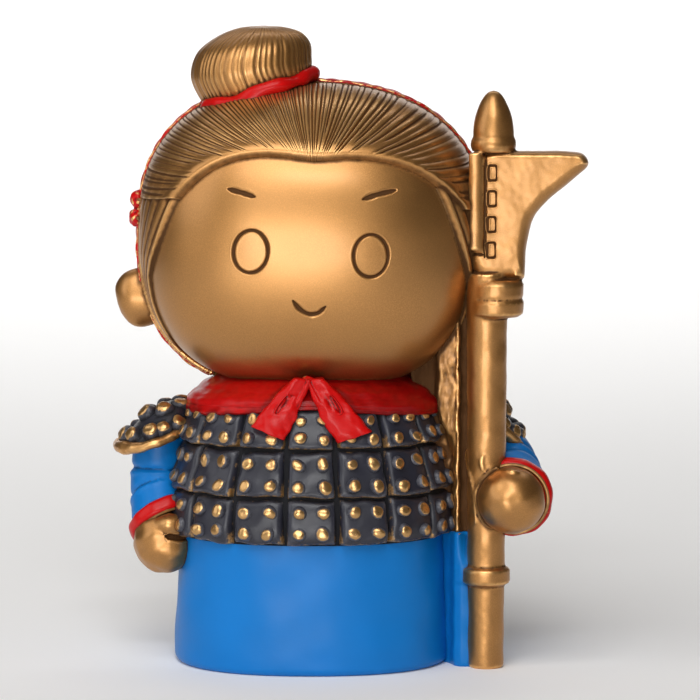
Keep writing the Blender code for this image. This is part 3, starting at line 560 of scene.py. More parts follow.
class Tone:
    """A number or colour on a node's output. Arithmetic on numbers adds Math nodes."""

    def __init__(self, paintwork, socket):
        self.paintwork = paintwork
        self.socket = socket

    def _with(self, operation, first, second):
        return self.paintwork.node("ShaderNodeMath", {"operation": operation}, {0: first, 1: second})

    def __add__(self, other):
        return self._with("ADD", self, other)

    def __sub__(self, other):
        return self._with("SUBTRACT", self, other)

    def __rsub__(self, other):
        return self._with("SUBTRACT", other, self)

    def __mul__(self, other):
        return self._with("MULTIPLY", self, other)

    __radd__ = __add__
    __rmul__ = __mul__


class Paintwork:
    """A Principled material and the nodes that vary it."""

    def __init__(self, name, constants):
        self.material = bpy.data.materials.new(name + FINISH)
        self.material.use_nodes = True
        self.tree = self.material.node_tree
        self.shader = self.tree.nodes["Principled BSDF"]
        for socket, value in constants.items():
            self.shader.inputs[socket].default_value = value
        self.place = self.node("ShaderNodeTexCoord", {}, {}, "Object")

    def node(self, kind, settings, inputs, output=0):
        """Any node: its settings first, then values or links for its sockets."""
        made = self.tree.nodes.new(kind)
        for name, value in settings.items():
            setattr(made, name, value)
        for socket, value in inputs.items():
            if isinstance(value, Tone):
                self.tree.links.new(value.socket, made.inputs[socket])
            else:
                made.inputs[socket].default_value = value
        return Tone(self, made.outputs[output])

    def marked(self, name):
        """A number marked on the mesh's points."""
        return self.node("ShaderNodeAttribute", {"attribute_name": name}, {}, "Fac")

    def mottle(self, size, detail=3.0, stretch=None):
        """Noise from 0 to 1 with spots of about that size."""
        place = self.place
        if stretch is not None:
            place = self.node("ShaderNodeMapping", {}, {"Vector": place, "Scale": stretch})
        return self.node("ShaderNodeTexNoise", {}, {"Vector": place, "Scale": 1 / size, "Detail": detail})

    def step(self, value, low, high):
        """A smooth step of a number."""
        inputs = {"Value": value, "From Min": low, "From Max": high}
        return self.node("ShaderNodeMapRange", {"interpolation_type": "SMOOTHSTEP"}, inputs)

    def blend(self, factor, first, second):
        """A colour between two colours."""
        colours = [tone if isinstance(tone, Tone) else (*tone, 1.0) for tone in (first, second)]
        settings = {"data_type": "RGBA"}
        return self.node("ShaderNodeMix", settings, {0: factor, 6: colours[0], 7: colours[1]}, 2)

    def give(self, socket, tone):
        """Links a tone to the shader."""
        self.tree.links.new(tone.socket, self.shader.inputs[socket])

    def rough(self, height, depth, strength=0.6):
        """Fine relief of that depth from a number."""
        inputs = {"Height": height, "Distance": depth, "Strength": strength}
        self.give("Normal", self.node("ShaderNodeBump", {}, inputs))


def shade(colour, factor):
    """A colour made darker or lighter."""
    return tuple(min(1.0, part * factor) for part in colour)


def gold_paint(paints):
    """Metallic gold paint with a fine flake, brown wash and painted shade in the hollows and where pieces meet,
    and bright rubs on the edges.
    """
    work = Paintwork("gold_paint", {"Specular IOR Level": 0.25, "Coat Roughness": 0.26})
    cloud = work.mottle(7 * MM, 3)
    spots = work.mottle(1.1 * MM, 4)
    flake = work.mottle(0.16 * MM, 2)
    # Brown wash and painted shade: marked hollows and contacts turn the gold dark brown, less metallic, rougher
    # and without coat
    hollow = work.marked("hollow") * 1.15 + work.marked("contact") * 0.8
    wash = work.step(hollow + (spots - 0.5) * 0.5, 0.22, 0.9)
    edge = work.step(work.marked("edge") + (spots - 0.5) * 0.6, 0.3, 0.9)
    base = work.blend(cloud, shade(paints.gold, 0.86), shade(paints.gold, 1.1))
    base = work.blend(work.step(flake, 0.35, 0.75), shade(paints.gold, 0.8), base)
    base = work.blend(edge * 0.7, base, tuple(paints.bright_gold))
    work.give("Base Color", work.blend(wash * 0.9, base, tuple(paints.wash)))
    work.give("Metallic", 0.97 - wash * 0.35)
    work.give("Coat Weight", 0.4 - wash * 0.4)
    work.give("Roughness", 0.33 + cloud * 0.08 + flake * 0.1 + wash * 0.3 - edge * 0.05)
    work.rough(flake * 0.15 + spots * 0.85, 0.02 * MM)


def cloth_paint(name, colour, paints, roughness, rub):
    """Satin colour over gold: darker in the hollows and where pieces meet, as brown wash and painted shade, and
    gold where edges are rubbed through.
    """
    work = Paintwork(name, {"Coat Roughness": 0.25, "Coat Weight": 0.04, "Specular IOR Level": 0.2})
    cloud = work.mottle(9 * MM, 3)
    spots = work.mottle(0.9 * MM, 4)
    brush = work.mottle(0.35 * MM, 2)
    # Wash and painted shade: marked hollows and contacts darken the colour towards a fifth of itself
    hollow = work.marked("hollow") * 0.9 + work.marked("contact") * 0.55
    dark = work.step(hollow + (spots - 0.5) * 0.4, 0.25, 1.0)
    worn = work.step(work.marked("edge") + work.marked("rub") + (spots - 0.5) * 1.3, 1.12 - rub, 1.3 - rub)
    base = work.blend(cloud, shade(colour, 0.88), shade(colour, 1.1))
    base = work.blend(dark * 0.8, base, shade(colour, 0.22))
    work.give("Base Color", work.blend(worn, base, tuple(paints.bright_gold)))
    work.give("Metallic", worn * 0.9)
    work.give("Roughness", roughness + cloud * 0.08 + brush * 0.06)
    work.rough(spots * 0.6 + brush * 0.4, 0.035 * MM)


def iron_paint(paints):
    """Blue-black armour paint, dry-brushed with gold on the studs and the edges of the plates, with painted
    shade near-black in the gaps and where pieces meet.
    """
    work = Paintwork("iron_paint", {"Coat Roughness": 0.32, "Specular IOR Level": 0.35})
    spots = work.mottle(0.8 * MM, 4)
    cloud = work.mottle(4 * MM, 3)
    brush = work.mottle(0.3 * MM, 3)
    worn = work.step(work.marked("rub") + (spots - 0.5) * 0.75 + (brush - 0.5) * 0.3, 0.48, 0.76)
    # Painted shade: marked hollows and contacts, such as the lining seen between the plates, go near-black, lose
    # their coat and turn rough
    dark = work.step(work.marked("hollow") * 0.8 + work.marked("contact") * 0.9, 0.2, 0.95)
    base = work.blend(cloud, shade(paints.iron, 0.7), shade(paints.iron, 1.9))
    base = work.blend(dark * 0.85, base, shade(paints.iron, 0.1))
    brushed_edge = work.step(work.marked("edge") + (brush - 0.5) * 0.8, 0.35, 1.0)
    base = work.blend(brushed_edge * 0.45, base, (0.14, 0.14, 0.16))
    work.give("Base Color", work.blend(worn, base, shade(paints.bright_gold, 0.62)))
    work.give("Metallic", worn * 0.92)
    work.give("Coat Weight", 0.3 - dark * 0.3)
    work.give("Roughness", 0.32 + brush * 0.16 + dark * 0.45 - worn * 0.1)
    work.rough(spots * 0.5 + brush * 0.5, 0.05 * MM)


# Head forms, in the head's own frame


def head_reach(points):
    """How far out points lie from the head's centre: 1 on the hair-level surface."""
    x, y, z = (np.abs(points[..., i]) for i in range(3))
    upper = points[..., 2] > 0
    half = np.where(upper, CROWN_HEIGHT, JAW_HEIGHT)
    squareness = np.where(upper, CROWN_SQUARENESS, HEAD_SQUARENESS)
    level = (x * 2 / HEAD_WIDTH) ** HEAD_SQUARENESS + (y * 2 / HEAD_DEPTH) ** HEAD_SQUARENESS
    return (level ** (squareness / HEAD_SQUARENESS) + (z / half) ** squareness) ** (1 / squareness)


def on_head(directions):
    """Where rays from the head's centre leave the hair-level surface."""
    return directions / head_reach(directions)[..., None]


def head_front(x, z):
    """Points of the hair-level front surface at places in the front view."""
    x, z = np.broadcast_arrays(np.asarray(x, float), np.asarray(z, float))
    half = np.where(z > 0, CROWN_HEIGHT, JAW_HEIGHT)
    squareness = np.where(z > 0, CROWN_SQUARENESS, HEAD_SQUARENESS)
    room = np.maximum(1 - (np.abs(z) / half) ** squareness, 0) ** (HEAD_SQUARENESS / squareness)
    inside = np.maximum(room - (np.abs(x) * 2 / HEAD_WIDTH) ** HEAD_SQUARENESS, 0)
    return np.stack([x, -HEAD_DEPTH / 2 * inside ** (1 / HEAD_SQUARENESS), z], axis=-1)


def head_half_width(z):
    """Half the head's width at levels of its own frame."""
    half = np.where(z > 0, CROWN_HEIGHT, JAW_HEIGHT)
    squareness = np.where(z > 0, CROWN_SQUARENESS, HEAD_SQUARENESS)
    return HEAD_WIDTH / 2 * np.maximum(1 - (np.abs(z) / half) ** squareness, 0) ** (1 / squareness)


def posed(points):
    """Points of the head's frame in the figure's frame."""
    return points @ np.array(HEAD_POSE.to_3x3()).T + np.array(HEAD_POSE.translation)


def sphere_directions(tilt, turn):
    """Directions over all tilts and turns; turn 0 is the front."""
    tilt, turn = tilt[:, None], turn[None, :]
    x = np.cos(tilt) * np.sin(turn)
    y = -np.cos(tilt) * np.cos(turn)
    return np.stack([x, y, np.sin(tilt) * np.ones_like(turn)], axis=2)


def hairline(x):
    """Height of the hairline in the front view."""
    temple = 0.907 * HEAD_WIDTH / 2
    fall = HAIRLINE_HEIGHT * np.where(x < 0, 1.06, 0.75) * (np.abs(x) / temple) ** 3.7
    return HAIRLINE_HEIGHT - PEAK_DIP * np.exp(-((x / (4.5 * MM)) ** 2)) - fall


def strand_grooves(position, share, count, seed, drift=0.25):
    """Groove depth from 0 to 1 for positions across the strands (in strands) and shares along them."""
    random = np.random.default_rng(seed)
    lanes = count + 3
    depth = random.uniform(0.35, 1.0, lanes)
    offset = random.uniform(-0.22, 0.22, lanes)
    start = random.uniform(-0.05, 0.3, lanes)
    end = random.uniform(0.8, 1.35, lanes)
    wander = random.uniform(-drift, drift, lanes)
    total = np.zeros(np.broadcast(position, share).shape)
    for shift in (-1, 0, 1):
        lane = np.clip(np.round(position).astype(int) + shift, 0, lanes - 1)
        centre = lane + offset[lane] + wander[lane] * np.sin(share * 3.1 + lane)
        gap = (position - centre) / 0.24
        length = ease(0, 0.14, share - start[lane]) * (1 - ease(0, 0.2, share - end[lane]))
        total = np.maximum(total, depth[lane] * length * np.exp(-(gap**2)))
    return total


class GUARD_OT_face(Operator):
    """Builds the smooth round head and engraves its eyes, brows and smile"""

    bl_idname = "guard.face"
    bl_label = "Face"

    def execute(self, context):
        settings = context.scene.guard_head
        degrees = math.pi / 180
        turn = np.concatenate([np.linspace(-100, 100, 180), np.linspace(110, 250, 14)]) * degrees
        tilt = np.concatenate([np.linspace(-88, -64, 8), np.linspace(-60, 46, 96), np.linspace(52, 88, 7)])
        tilt = tilt * degrees
        head = on_head(sphere_directions(tilt, turn)) * FACE_SCALE
        mesh = shell("face", posed(head))
        swell(mesh, 0.05 * MM * lumps(coordinates(mesh), 13 * MM, 3))
        steps = np.linspace(0, 2 * math.pi, 49)
        strokes = []
        for middle, lean in ((-9.04, 0.09), (9.2, 0.0)):
            x, z = 2.62 * np.cos(steps), 3.25 * np.sin(steps)
            strokes.append(np.stack([middle + x + lean * z, -2.05 + z - lean * x], axis=1) * MM)
        strokes.append(curve_through(((-8.75, 6.3), (-10.8, 6.85), (-12.8, 7.25)), 9) * MM)
        strokes.append(curve_through(((7.75, 6.5), (10.0, 7.3), (12.6, 7.95)), 9) * MM)
        smile = ((-2.39, -9.3), (-1.3, -10.6), (0.2, -11.35), (1.5, -11.1), (2.56, -10.1))
        strokes.append(curve_through(smile, 17) * MM)
        width = settings.stroke_width
        engrave(mesh, strokes, (width, width, 1.5 * width, 1.5 * width, 1.3 * width), settings.stroke_depth,
                HEAD_POSE, lip=0.04)
        piece("face", mesh, "gold_paint")
        return {"FINISHED"}


class GUARD_OT_hair(Operator):
    """Combs the front hair back, the back hair up to the crown, and lays a lock before each ear"""

    bl_idname = "guard.hair"
    bl_label = "Hair"

    def front(self, settings):
        """Fluted hair from the hairline to the rim of the head."""
        count = settings.strands
        columns = count * 8 + 1
        fine = np.linspace(0, 1, 2001)
        crowding = np.cumsum(1.5 - 0.65 * ease(0.3, 0.62, fine))
        crowding = (crowding - crowding[0]) / (crowding[-1] - crowding[0])
        lane = np.linspace(0, count, columns)
        way = np.interp(lane / count, crowding, fine)
        angle = COMB_SPREAD * (2 * way - 1)
        far = np.linspace(0, HEAD_WIDTH, 900)
        x = far[None, :] * np.sin(angle)[:, None]
        z = COMB_CENTRE_HEIGHT + far[None, :] * np.cos(angle)[:, None]
        start = far[np.argmax(z > hairline(x), axis=1)]
        field = head_reach(np.stack([x, np.zeros_like(x), z], axis=2)) > 1
        rim = far[np.argmax(field & (far[None, :] > start[:, None]), axis=1)]
        smoothing = np.ones(9) / 9
        start = np.convolve(np.pad(start, 4, mode="edge"), smoothing, mode="valid")
        rim = np.convolve(np.pad(rim, 4, mode="edge"), smoothing, mode="valid")
        rows = 52
        share = np.linspace(0, 1, rows)
        distance = start[:, None] + (rim - start)[:, None] * np.sin(share * math.pi / 2)[None, :]
        points = head_front(distance * np.sin(angle)[:, None],
                            COMB_CENTRE_HEIGHT + distance * np.cos(angle)[:, None])
        groove = strand_grooves(lane[:, None], 0.12 + 0.88 * share[None, :], count, 11)
        groove = groove * ease(0.03, 0.1, share)[None, :]
        roll = 0.5 * MM * np.exp(-(((share - 0.08) / 0.13) ** 2)) - 0.4 * MM * (1 - ease(0, 0.04, share))
        deeper = (0.6 + 0.7 * ease(0.4, 0.7, way))[:, None] * (1 - 0.5 * ease(0.7, 1.0, share))[None, :]
        out = roll[None, :] - settings.strand_depth * deeper * groove
        length = np.linalg.norm(points, axis=2)
        outer = points * (1 + out / length)[..., None]
        lip = points[:, :1]
        under = [lip * 0.86, lip * (FACE_SCALE - 0.012)]
        section = np.concatenate(under + [outer, points[:, -1:] * 0.86], axis=1)
        mesh = shell("front_hair", posed(section))
        # Painted shade and wash: brown in the grooves, darker towards the rim, and a dark line under the lip as
        # the shadow of its overhang
        painted_shade = 0.2 * ease(0.8, 1.0, share) + 0.5 * (1 - ease(0, 0.05, share))
        mark_rows(mesh, "hollow", np.pad(groove * 0.26 + painted_shade, ((0, 0), (2, 1))))
        piece("front_hair", mesh, "gold_paint")

    def back(self, settings):
        """The back half of the head, combed up towards the topknot."""
        count = 56
        columns, rows = count * 6 + 1, 60
        tilt = np.radians(np.linspace(-62, 84, rows))
        turn = np.radians(np.linspace(91, 269, columns))
        directions = sphere_directions(tilt, turn)
        lean = np.array(Matrix.Rotation(-TOPKNOT_LEAN * 0.6, 3, "Y"))
        directions = directions @ lean.T
        points = on_head(directions)
        lane = np.linspace(0, count, columns)[None, :]
        share = np.linspace(0, 1, rows)[:, None]
        groove = strand_grooves(lane, share, count, 23) * ease(0, 0.05, share)
        outer = points * (1 - settings.strand_depth * groove / np.linalg.norm(points, axis=2))[..., None]
        inner = outer[:, [-1, 0]] * 0.5
        mesh = shell("back_hair", posed(np.concatenate([outer, inner], axis=1)))
        piece("back_hair", mesh, "gold_paint")

    def sidelock(self, side):
        """A band of parallel strands from the temple down the edge of the face, thinning towards the jaw."""
        rows, columns = 90, 56
        level = np.linspace(8.5, -20, rows) * MM
        rim = head_half_width(level)
        known = (
            (-20, 0.1), (-17, 0.7), (-12, 0.95), (-7.6, 1.4), (-3.7, 2.75), (0, 4.0), (3.65, 5.1), (8.5, 6.4),
        )
        width = np.interp(level / MM, *np.array(known).T) * MM
        across = np.linspace(0, 1, columns)
        x = rim[:, None] - width[:, None] * (1 - np.sin(across * math.pi / 2) * 0.9995)[None, :]
        base = head_front(side * x, level[:, None])
        out = base / np.linalg.norm(base, axis=2)[..., None]
        wander = 0.35 * np.sin(level / MM * 0.25)[:, None]
        strands = np.abs(np.sin(math.pi * (5.5 * across[None, :] + wander))) ** 0.7
        thin = np.minimum(1, width / (2.5 * MM))[:, None]
        height = (0.35 + 0.35 * thin * (0.35 + strands)) * ease(0, 0.1, across)[None, :] * MM
        top = base * FACE_SCALE + out * height[..., None]
        under = (base * (FACE_SCALE - 0.025))[:, ::-1]
        mesh = shell("sidelock", posed(np.concatenate([top, under], axis=1)))
        # Wash and painted shade in the grooves between the strands
        mark_rows(mesh, "hollow", np.pad(0.75 * (1 - strands) * thin, ((0, 0), (0, columns))))
        piece("sidelock_left" if side > 0 else "sidelock_right", mesh, "gold_paint")

    def execute(self, context):
        settings = context.scene.guard_head
        self.front(settings)
        self.back(settings)
        for side in (-1, 1):
            self.sidelock(side)
        return {"FINISHED"}


def new_tree(name, inputs):
    """A Geometry Nodes tree with named inputs: (name, socket type) pairs after the geometry."""
    tree = bpy.data.node_groups.new(name, "GeometryNodeTree")
    tree.interface.new_socket("Geometry", in_out="INPUT", socket_type="NodeSocketGeometry")
    for label, kind in inputs:
        tree.interface.new_socket(label, in_out="INPUT", socket_type=kind)
    tree.interface.new_socket("Geometry", in_out="OUTPUT", socket_type="NodeSocketGeometry")
    return tree


def tree_node(tree, kind, settings=None, **inputs):
    """A node of the tree with its settings, and values or links for its sockets by name."""
    made = tree.nodes.new(kind)
    for name, value in (settings or {}).items():
        setattr(made, name, value)
    for label, value in inputs.items():
        socket = made.inputs[label.replace("_", " ")]
        if isinstance(value, bpy.types.NodeSocket):
            tree.links.new(value, socket)
        else:
            socket.default_value = value
    return made


def tree_maths(tree, operation, first, second):
    """The outcome of a Math node on two values or links."""
    made = tree_node(tree, "ShaderNodeMath", {"operation": operation})
    for socket, value in zip(made.inputs, (first, second)):
        if isinstance(value, bpy.types.NodeSocket):
            tree.links.new(value, socket)
        else:
            socket.default_value = value
    return made.outputs[0]


def end_tree(tree, copies, material):
    """Ends a tree with real geometry in its material."""
    real = tree_node(tree, "GeometryNodeRealizeInstances", Geometry=copies)
    painted = tree_node(tree, "GeometryNodeSetMaterial", Geometry=real.outputs[0], Material=material)
    out = tree.nodes.new("NodeGroupOutput")
    tree.links.new(painted.outputs[0], out.inputs[0])
    return tree


def grown(name, base, tree, values):
    """Runs the tree on the base mesh and gives the result as a plain mesh."""
    form = bpy.data.objects.new(name, base)
    bpy.context.scene.collection.objects.link(form)
    modifier = form.modifiers.new(tree.name, "NODES")
    modifier.node_group = tree
    for item in tree.interface.items_tree:
        if item.item_type == "SOCKET" and item.in_out == "INPUT" and item.name in values:
            modifier[item.identifier] = values[item.name]
    mesh = settled(form)
    form.modifiers.remove(modifier)
    bpy.data.objects.remove(form, do_unlink=True)
    return mesh


def kept_form(name, mesh):
    """An unshown object that a tree takes its copies from."""
    form = bpy.data.objects.new(name, mesh)
    form.hide_render = True
    return form


def bead_mesh(radius, height, rows=7, columns=14):
    """A domed bead on the flat; its top is marked as rubbed."""
    rise = np.linspace(0, 1, rows)
    grid = np.empty((rows + 1, columns, 3))
    turn = np.linspace(0, 2 * math.pi, columns, endpoint=False)
    levels = np.concatenate([[-0.5 * height], height * np.sin(rise * math.pi / 2) * 0.97])
    reach = np.concatenate([[radius], radius * np.cos(rise * math.pi / 2 * 0.9) ** 0.75])
    grid[..., 0] = reach[:, None] * np.cos(turn)
    grid[..., 1] = reach[:, None] * np.sin(turn)
    grid[..., 2] = levels[:, None]
    mesh = shell("bead", grid)
    mark(mesh, "rub", ease(0.4, 1.0, coordinates(mesh)[:, 2] / height))
    return mesh


def along_tree():
    """Copies of a form along a line, turned with it."""
    inputs = (("Copy", "NodeSocketObject"), ("Pitch", "NodeSocketFloat"), ("Uneven", "NodeSocketFloat"),
              ("Seed", "NodeSocketInt"), ("Material", "NodeSocketMaterial"))
    tree = new_tree("copies_along_a_line", inputs)
    given = tree.nodes.new("NodeGroupInput").outputs
    line = tree_node(tree, "GeometryNodeMeshToCurve", Mesh=given["Geometry"])
    evened = tree_node(tree, "GeometryNodeResampleCurve", {"mode": "LENGTH"}, Curve=line.outputs[0],
                       Length=given["Pitch"])
    copy = tree_node(tree, "GeometryNodeObjectInfo", {"transform_space": "ORIGINAL"}, Object=given["Copy"])
    size = tree_node(tree, "FunctionNodeRandomValue", {"data_type": "FLOAT"}, Seed=given["Seed"])
    for operation, socket in (("SUBTRACT", size.inputs[2]), ("ADD", size.inputs[3])):
        tree.links.new(tree_maths(tree, operation, 1.0, given["Uneven"]), socket)
    tangent = tree.nodes.new("GeometryNodeInputTangent")
    turn = tree_node(tree, "FunctionNodeAlignRotationToVector", {"axis": "Z"}, Vector=tangent.outputs[0])
    copies = tree_node(tree, "GeometryNodeInstanceOnPoints", Points=evened.outputs[0],
                       Instance=copy.outputs["Geometry"], Rotation=turn.outputs[0], Scale=size.outputs[1])
    return end_tree(tree, copies.outputs[0], given["Material"])


def line_mesh(points):
    """A mesh of one line through the points."""
    mesh = bpy.data.meshes.new("line")
    mesh.from_pydata(np.asarray(points).tolist(), [(i, i + 1) for i in range(len(points) - 1)], [])
    return mesh


class GUARD_OT_straps(Operator):
    """Lays the gold cord and the red ribbon over the head, with a knot and two lashings at each temple"""

    bl_idname = "guard.straps"
    bl_label = "Cord and ribbon"

    def execute(self, context):
        settings = context.scene.guard_head
        steps = 320
        angle = np.linspace(STRAP_END, math.pi - STRAP_END, steps)
        rim = on_head(np.stack([np.cos(angle), np.zeros(steps), np.sin(angle)], axis=1))
        out = rim / np.linalg.norm(rim, axis=1)[:, None]
        line = posed(rim - out * 0.35 * MM)
        bead = ball((0, 0, 0), (0.45 * MM, 0.45 * MM, 0.38 * MM), 5, 9)
        values = {
            "Copy": kept_form("cord_bead", bead), "Pitch": settings.bead_pitch, "Uneven": 0.16, "Seed": 3,
            "Material": bpy.data.materials["gold_paint" + FINISH],
        }
        beads = grown("cord_beads", line_mesh(line), along_tree(), values)
        core = swept(line, 0.4 * MM, 10)
        piece("gold_cord", joined("cord", [beads, core]), "gold_paint")

        columns = 30
        turn = np.linspace(0, 2 * math.pi, columns, endpoint=False)
        across = signed_power(np.cos(turn), 0.5)
        over = signed_power(np.sin(turn), 0.6)
        middle = CORD_RADIUS + STRAP_WIDTH / 2
        waves = 0.16 * MM * np.sin(angle * 31)[:, None] * np.sin(across * 3 + angle[:, None] * 5)
        proud = 0.45 * MM + waves + 0.12 * MM * np.cos(across * 6)[None, :]
        height = np.where(over[None, :] > 0, over[None, :] * proud, over[None, :] * 1.5 * MM)
        grid = rim[:, None] + out[:, None] * height[..., None]
        grid[..., 1] += middle + across[None, :] * STRAP_WIDTH / 2
        piece("head_ribbon", shell("head_ribbon", posed(grid)), "red_paint")

        for side in (-1, 1):
            parts, bars = [], []
            for lower in (0, 1):
                tilt = math.radians(7.5 - 6 * lower)
                seat = on_head(np.array([side * math.cos(tilt), 0, math.sin(tilt)]))
                centre = posed(seat + np.array([side * 0.35 * MM, CORD_RADIUS + STRAP_WIDTH * 0.35, 0]))
                parts.append(ball(centre, (1.25 * MM, 1.8 * MM, 1.5 * MM)))
                course = ((-1.9, -3.2), (-0.5, -1.1), (0.5, 0.6))
                bar = [seat + np.array([side * dx, dy, 0.3 * dx]) * MM for dx, dy in course]
                bars.append(swept(posed(curve_through(bar, 12)), 0.32 * MM, 10, up=(0, 0, 1)))
            knot = fused("ribbon_knot", parts, 0.18 * MM, 2)
            swell(knot, 0.1 * MM * lumps(coordinates(knot), 1.3 * MM, 5))
            name = "left" if side > 0 else "right"
            piece(f"ribbon_knot_{name}", knot, "red_paint")
            piece(f"cord_lashing_{name}", fused("lashing", bars, 0.12 * MM, 1), "gold_paint")
        return {"FINISHED"}


class GUARD_OT_ears(Operator):
    """Rounds out the ears behind the ribbon"""

    bl_idname = "guard.ears"
    bl_label = "Ears"

    def execute(self, context):
        for side in (-1, 1):
            behind = np.array([0, CORD_RADIUS + STRAP_WIDTH * 0.8, -0.4 * MM])
            seat = on_head(np.array([side, 0, -0.44])) + behind
            out = np.array([side, 0, -0.3]) / math.hypot(1, 0.3)
            up = np.array([side * 0.3, 0, 1]) / math.hypot(1, 0.3)
            share = np.linspace(0, 1, 30)
            reach = np.concatenate([[0.95], np.maximum(1 - share**3.2, 0.0) ** 0.5])
            level = np.concatenate([[-0.6], share])
            turn = np.linspace(0, 2 * math.pi, 48, endpoint=False)
            grid = seat + (out * level[:, None] * 4.6 * MM)[:, None]
            level_way = np.array([0.0, 2.95 * MM, 0.0]) * np.cos(turn)[:, None]
            grid = grid + reach[:, None, None] * (level_way + up * 4.6 * MM * np.sin(turn)[:, None])
            mesh = shell("ear", posed(grid))
            swell(mesh, 0.07 * MM * lumps(coordinates(mesh), 4 * MM, 9))
            piece("ear_left" if side > 0 else "ear_right", mesh, "gold_paint")
        return {"FINISHED"}


class GUARD_OT_topknot(Operator):
    """Coils the fluted topknot and ties the folded red band round its foot"""

    bl_idname = "guard.topknot"
    bl_label = "Topknot"

    def execute(self, context):
        share_out = (TOPKNOT_OFFSET * 2 / HEAD_WIDTH) ** CROWN_SQUARENESS
        level = CROWN_HEIGHT * (1 - share_out) ** (1 / CROWN_SQUARENESS)
        base = np.array([-TOPKNOT_OFFSET, -0.3 * MM, level - TIE_RADIUS])
        knots = (
            (-0.2, 0.86, 0.03, 1.0), (0.02, 0.86, 0.02, 1.0), (0.15, 0.95, -0.02, 0.9),
            (0.38, 1.0, -0.1, 0.55), (0.66, 0.93, -0.07, 0.35), (0.86, 0.7, 0.0, 0.27),
            (0.97, 0.38, 0.05, 0.15), (1.0, 0.04, 0.08, 0.1),
        )
        stations = curve_through(knots, 60)
        strands = 60
        columns = strands * 5
        turn = np.linspace(0, 2 * math.pi, columns, endpoint=False)
        share = np.linspace(0, 1, len(stations))
        swirl = 0.1 * share**2
        lane = ((turn[None, :] + swirl[:, None]) / (2 * math.pi) * strands) % strands
        groove = strand_grooves(lane, share[:, None] * 0.55 + 0.3, strands, 31, 0.04)
        fade = ease(0.08, 0.2, share) * (1 - ease(0.9, 1.0, share))
        grid = np.empty((len(stations), columns, 3))
        for i, (height, reach, drift, lean) in enumerate(stations):
            a = TOPKNOT_LEAN * lean
            across = np.array([math.cos(a), 0.0, math.sin(a)])
            centre = base + np.array([drift * TOPKNOT_RADIUS, 0.0, height * TOPKNOT_HEIGHT])
            radius = TOPKNOT_RADIUS * max(reach, 0.03) - 0.22 * MM * groove[i] * fade[i]
            grid[i] = centre + across * (radius * np.cos(turn))[:, None]
            grid[i, :, 1] += 0.92 * radius * np.sin(turn)
        mesh = shell("topknot", posed(grid))
        piece("topknot", mesh, "gold_paint")

        a = TOPKNOT_LEAN
        axis, across = np.array([-math.sin(a), 0, math.cos(a)]), np.array([math.cos(a), 0, math.sin(a)])
        middle = base + np.array([0.1 * MM, 0, 0.25 * MM])
        turn = np.linspace(0, 2 * math.pi, 220, endpoint=False)
        ring = across * np.cos(turn)[:, None] * TOPKNOT_RADIUS * 0.9
        ring = ring + np.array([0, 1, 0]) * np.sin(turn)[:, None] * TOPKNOT_RADIUS * 0.84
        section = np.linspace(0, 2 * math.pi, 20, endpoint=False)
        fold = 1 + 0.2 * np.cos(5 * turn)[:, None] + 0.16 * np.cos(2 * section[None, :] + 6 * turn[:, None])
        fold = fold + 0.1 * np.sin(11 * turn + 1)[:, None]
        away = ring / np.linalg.norm(ring, axis=1)[:, None]
        tube = away[:, None] * np.cos(section)[None, :, None] + axis * np.sin(section)[None, :, None]
        grid = middle + ring[:, None] + tube * (TIE_RADIUS * fold)[..., None]
        piece("topknot_tie", shell("topknot_tie", posed(grid), round_trip=True), "red_paint")
        return {"FINISHED"}


# Body forms


def chest_half_width(z):
    """Half the width of the trunk under the armour."""
    rise = np.clip((z - ROBE_HEIGHT) / (ARMOUR_TOP - ROBE_HEIGHT), 0, 1)
    waist = ROBE_WIDTH / 2 - WAIST_TAPER
    return waist + CHEST_SWELL * np.sin(math.pi * np.minimum(2 * rise, 1)) - SHOULDER_SLOPE * rise**2.2


def body_ring(turn, half_width, grow=0.0):
    """Points of a level ring of the body; turn 0 is the front middle."""
    x = (half_width + grow) * signed_power(np.sin(turn), 2 / BODY_SQUARENESS)
    y = (half_width * ROBE_DEPTH / ROBE_WIDTH + grow) * signed_power(-np.cos(turn), 2 / BODY_SQUARENESS)
    return x, y


def turn_at(shares):
    """Turns at shares of the way round a body ring, and the ring's length."""
    turn = np.linspace(0, 2 * math.pi, 2881)
    x, y = body_ring(turn, ROBE_WIDTH / 2)
    length = np.concatenate([[0], np.cumsum(np.hypot(np.diff(x), np.diff(y)))])
    return np.interp(np.mod(shares, 1) * length[-1], length, turn), length[-1]


